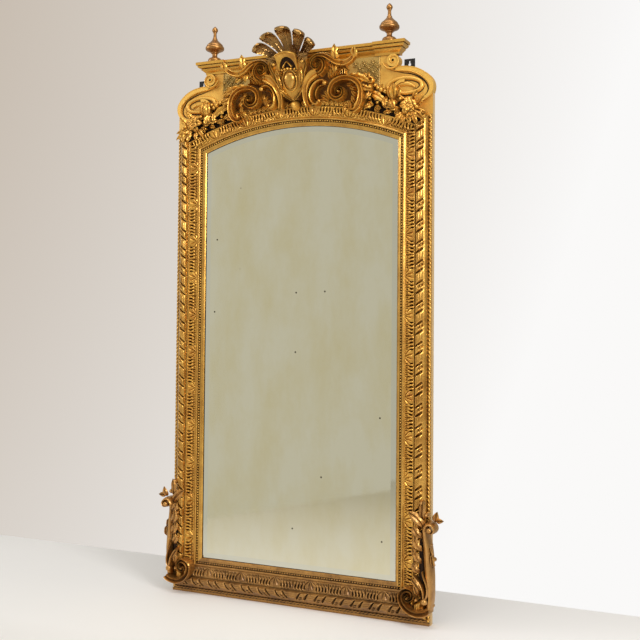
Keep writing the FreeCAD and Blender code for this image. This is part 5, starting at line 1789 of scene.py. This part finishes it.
@dataclass
class Finials:
    """Turned finials on the ends of the cornice.

    Attributes:
        x: X of the axis of the right one.
        y: Y of the axis.
        foot: Height of the foot.
        outline: Radius and height over the foot, from the foot up.
    """

    x: float = 380.0
    y: float = -30.0
    foot: float = 2155.0
    outline: Sequence[tuple[float, float]] = (
        (4, -0.5), (27, -0.5), (27.6, 1.5), (27.6, 4), (27, 6), (27.4, 8), (26.2, 12), (22.8, 15.8),
        (16.4, 18.6), (12.6, 19.6), (11, 21), (10.4, 26), (10.6, 32), (12.4, 35.6), (15.6, 37), (15.8, 39),
        (18, 40.6), (25, 44), (31.5, 47), (34.8, 48.4), (34.4, 49.6), (36.6, 50.6), (38.2, 54), (38.4, 57.4),
        (37.6, 61.2), (35.6, 63.8), (33.4, 64.6), (34, 66.4), (33.2, 69), (30.4, 73.2), (25, 78), (19.4, 83),
        (14.4, 88), (10.8, 92.4), (9.8, 94.4), (10.4, 96), (9.6, 97.6), (7.8, 99), (6.8, 106), (6.2, 115),
        (6.4, 120.6), (8.4, 121.6), (8.6, 123.2), (7.6, 124), (10.2, 126.2), (12, 130), (12, 133.6),
        (10.4, 138), (7, 142.4), (3.6, 145.6), (0.6, 148))

    def build(self, finishes: Finishes) -> None:
        """Build both finials.

        Args:
            finishes: The materials of the mirror.
        """
        rings = lathe(self.x, self.y, self.foot, self.outline, 40)
        Carving().shell(rings).both("turned_finial", finishes.turned, "turned_gilt", "finial", 50)


@dataclass
class Fixings:
    """Slotted screw heads in the hanging plates and the battens.

    Attributes:
        plate_x: Middle of a hanging plate.
        plate_back: Y of the back of a plate.
        plate_head: Radius of the heads in the plates.
        plate_screws: Places on a plate, as (x from its middle, z).
        batten_x: Middle of a batten.
        batten_back: Y of the back of a batten.
        batten_head: Radius of the heads in the battens.
        batten_heights: Heights of the screws in a batten.
    """

    plate_x: float = 450.0
    plate_back: float = 4.5
    plate_head: float = 3.6
    plate_screws: Sequence[tuple[float, float]] = (
        (-12, 2042), (12, 2042), (-12, 2054), (12, 2054))
    batten_x: float = 485.0
    batten_back: float = 27.0
    batten_head: float = 4.6
    batten_heights: Sequence[float] = (70, 330, 720, 1110, 1420, 1700, 1900, 1990)

    def head(self, x: float, z: float, back: float, radius: float, turn: float) -> list[np.ndarray]:
        """A countersunk head in two halves with its slot between them.

        Args:
            x: Place on the back view.
            z: Place on the back view.
            back: Y of the face it sits in.
            radius: Radius of the head.
            turn: Direction of the slot in degrees.

        Returns:
            Stacks of rings.
        """
        made = []
        for half in (0, 180):
            arc = np.radians(np.linspace(12, 168, 12) + half + turn)
            edge = np.stack([x + radius * np.cos(arc), z + radius * np.sin(arc)], axis=1)
            stack = [np.stack([edge[:, 0], np.full(12, back + lift), edge[:, 1]], axis=1)
                     for lift in (-0.4, 0.7)]
            top = np.stack([x + 0.8 * (edge[:, 0] - x), np.full(12, back + 1.1), z + 0.8 * (edge[:, 1] - z)],
                           axis=1)
            made.append(np.array(stack + [top]))
        return made

    def build(self, finishes: Finishes) -> None:
        """Build the screws as two pieces.

        Args:
            finishes: The materials of the mirror.
        """
        plates, battens = Carving(), Carving()
        for side in Side:
            for i, (dx, z) in enumerate(self.plate_screws):
                x = side.value * (self.plate_x + dx)
                plates.shells(self.head(x, z, self.plate_back, self.plate_head, 37 * i))
            for i, z in enumerate(self.batten_heights):
                x = side.value * self.batten_x
                battens.shells(self.head(x, z, self.batten_back, self.batten_head, 53 * i))
        plates.build("plate_screws", finishes.lacquer, "black_steel")
        battens.build("batten_screws", finishes.lacquer, "black_steel")


@dataclass
class Boards:
    """The wooden pieces and the plate that keep their CAD shapes and get their finishes.

    Attributes:
        edge_mm: Width of an eased edge.
        sharp: Angle over which an edge is eased.
    """

    edge_mm: float = 1.2
    sharp: float = math.radians(40)

    def paint(self, node: str, finish: bpy.types.Material, soften: bool = True) -> None:
        """Give a CAD node its finish and take off its sharp edges.

        Args:
            node: Name of the node.
            finish: Its material.
            soften: Whether its edges are eased.
        """
        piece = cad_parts[node]
        piece.data.materials.clear()
        piece.data.materials.append(finish)
        if soften:
            ease = piece.modifiers.new("eased_edges", "BEVEL")
            ease.width = self.edge_mm * MM
            ease.segments = 2
            ease.limit_method = "ANGLE"
            ease.angle_limit = self.sharp
        LOG.info("%s: %s", node, finish.name)

    def build(self, finishes: Finishes) -> None:
        """Dress every piece that keeps its CAD shape.

        Args:
            finishes: The materials of the mirror.
        """
        for side in Side:
            self.paint(f"stile_{side.suffix}", finishes.boards)
            self.paint(f"batten_{side.suffix}", finishes.back)
            self.paint(f"shoulder_scroll_{side.suffix}", finishes.ochre, False)
            self.paint(f"diaper_panel_{side.suffix}", finishes.diaper, False)
            self.paint(f"hanger_plate_{side.suffix}", finishes.lacquer, False)
        self.paint("bottom_rail", finishes.foot)
        self.paint("top_rail", finishes.rail, False)
        self.paint("crest_board", finishes.crest, False)
        self.paint("crest_core", finishes.crest, False)
        self.paint("glazing_blocks", finishes.back, False)
        self.paint("backboard_lower", finishes.back)
        self.paint("backboard_upper", finishes.back)
        self.paint("crossbar_lower", finishes.crossbar)
        self.paint("crossbar_upper", finishes.crossbar)
        self.paint("mirror_plate", finishes.mirror, False)


@dataclass
class Studio:
    """Pale floor, soft lights and the camera.

    Attributes:
        floor_back: Y of the back edge of the floor.
        sensor_mm: Width of the sensor.
        focal_px: Focal length in pixels of the photo.
        image_px: Width of the photo.
        centre_px: Row of the photo that the camera faces.
        place: Where the camera stands.
        azimuth: Turn of the camera to the left in degrees.
        pitch: Its tilt upward in degrees.
        roll: Its roll in degrees.
    """

    floor_back: float = 0.43
    sensor_mm: float = 36.0
    focal_px: float = 969.2
    image_px: float = 640.0
    centre_px: float = 288.0
    place: tuple[float, float, float] = (1.6474, -3.4283, 1.1065)
    azimuth: float = 24.455
    pitch: float = 1.886
    roll: float = 0.498

    def floor(self) -> None:
        """Lay a pale floor, darkened toward the front by painted shade."""
        mesh = bpy.data.meshes.new("studio_floor")
        corners = [(-1.92, self.floor_back, 0.0), (-1.149, -1.29, 0.0), (-0.546, -2.617, 0.0),
                   (1.75, -7.67, 0.0), (9.0, -7.67, 0.0), (9.0, self.floor_back, 0.0)]
        mesh.from_pydata(corners, [], [(0, 1, 2, 3, 4, 5)])
        material, tree, shader = blank("painted_floor")
        place = add(tree, "ShaderNodeTexCoord").outputs["Object"]
        tone = mix(tree, noise(tree, place, 700.0, 3.0), "#F2F1F3", "#F8F7F9")
        near = add(tree, "ShaderNodeSeparateXYZ", inputs={0: place}).outputs["Y"]
        # Painted shade: the floor darkens toward the front.
        shaded = mix(tree, ramp(tree, near, -0.6, -2.4), tone, "#C4BFB2")
        tree.links.new(shaded, shader.inputs["Base Color"])
        shader.inputs["Roughness"].default_value = 0.6
        mesh.materials.append(material)
        floor = bpy.data.objects.new("studio_floor", mesh)
        bpy.context.scene.collection.objects.link(floor)

    def sky(self) -> None:
        """Surround the studio with soft pale light."""
        world = bpy.data.worlds.new("studio")
        bpy.context.scene.world = world
        world.use_nodes = True
        tree = world.node_tree
        ray = add(tree, "ShaderNodeTexCoord").outputs["Generated"]
        way = add(tree, "ShaderNodeSeparateXYZ", inputs={0: ray})
        slant = add(tree, "ShaderNodeVectorMath", {"operation": "DOT_PRODUCT"},
                    {0: ray, 1: (1.0, 0.0, -0.35)})
        lit = ramp(tree, slant.outputs["Value"], -0.8, -0.2)
        seen = add(tree, "ShaderNodeBackground", inputs={"Color": mix(tree, lit, "#C4B8AA", "#FAF9F8")})
        ahead = ramp(tree, way.outputs["Y"], -0.1, -0.6, 1.0, 1.26)
        side = ramp(tree, way.outputs["X"], -0.7, 0.9, 0.68, 0.44)
        room = product(tree, ahead, side)
        around = tree.nodes["Background"]
        around.inputs["Color"].default_value = linear("#EAE6DA")
        tree.links.new(room, around.inputs["Strength"])
        direct = add(tree, "ShaderNodeLightPath").outputs["Is Camera Ray"]
        both = add(tree, "ShaderNodeMixShader", inputs={0: direct, 1: around.outputs[0], 2: seen.outputs[0]})
        tree.links.new(both.outputs[0], tree.nodes["World Output"].inputs["Surface"])

    def lamp(self, name: str, place: Sequence[float], aim: Sequence[float], size: float, power: float,
             colour: str) -> None:
        """Hang a soft square light.

        Args:
            name: Name of the light.
            place: Where it hangs.
            aim: What it points at.
            size: Length of its side in metres.
            power: Watts.
            colour: Colour of its light.
        """
        light = bpy.data.lights.new(name, "AREA")
        light.size = size
        light.energy = power
        light.color = linear(colour)[:3]
        holder = bpy.data.objects.new(name, light)
        holder.location = place
        way = Vector(aim) - Vector(place)
        holder.rotation_euler = way.to_track_quat("-Z", "Y").to_euler()
        bpy.context.scene.collection.objects.link(holder)

    def camera(self) -> None:
        """Set the camera at the photograph's viewing angle."""
        a, p, r = (math.radians(v) for v in (self.azimuth, self.pitch, self.roll))
        ahead = Vector((-math.sin(a) * math.cos(p), math.cos(a) * math.cos(p), math.sin(p)))
        right = ahead.cross(Vector((0.0, 0.0, 1.0))).normalized()
        up = right.cross(ahead)
        across = right * math.cos(r) + up * math.sin(r)
        upright = up * math.cos(r) - right * math.sin(r)
        lens = bpy.data.cameras.new("photo_camera")
        lens.sensor_width = self.sensor_mm
        lens.lens = self.sensor_mm * self.focal_px / self.image_px
        lens.shift_y = (self.centre_px - 0.5 * self.image_px) / self.image_px
        lens.clip_end = 100.0
        camera = bpy.data.objects.new("photo_camera", lens)
        turn = Matrix((across, upright, -ahead)).transposed().to_4x4()
        camera.matrix_world = Matrix.Translation(Vector(self.place)) @ turn
        bpy.context.scene.collection.objects.link(camera)
        bpy.context.scene.camera = camera

    def build(self) -> None:
        """Set up the whole studio."""
        bpy.context.scene.view_settings.view_transform = "Standard"
        self.floor()
        self.sky()
        self.lamp("window_right", (3.6, -2.6, 2.6), (0.0, 0.0, 1.2), 1.3, 112.0, "#FFFCF8")
        self.lamp("window_left", (-3.4, -1.8, 2.8), (0.0, 0.0, 1.4), 1.0, 24.0, "#FFFFFF")
        self.lamp("ceiling_soft", (0.4, -1.2, 4.6), (0.0, -0.1, 1.6), 2.6, 50.0, "#FFFDFA")
        self.camera()


def main() -> None:
    """Build every part of the mirror and the studio round it."""
    logging.basicConfig(level=logging.INFO, format="%(message)s")
    finishes = Finishes.make()
    Boards().build(finishes)
    FrameRuns().build(finishes)
    CrestScrolls().build(finishes)
    Garland().build(finishes)
    Shoulders().build(finishes)
    Cartouche().build(finishes)
    Cornice().build(finishes)
    Brackets().build(finishes)
    Finials().build(finishes)
    Fixings().build(finishes)
    Studio().build()


if __name__ == "__main__":
    main()
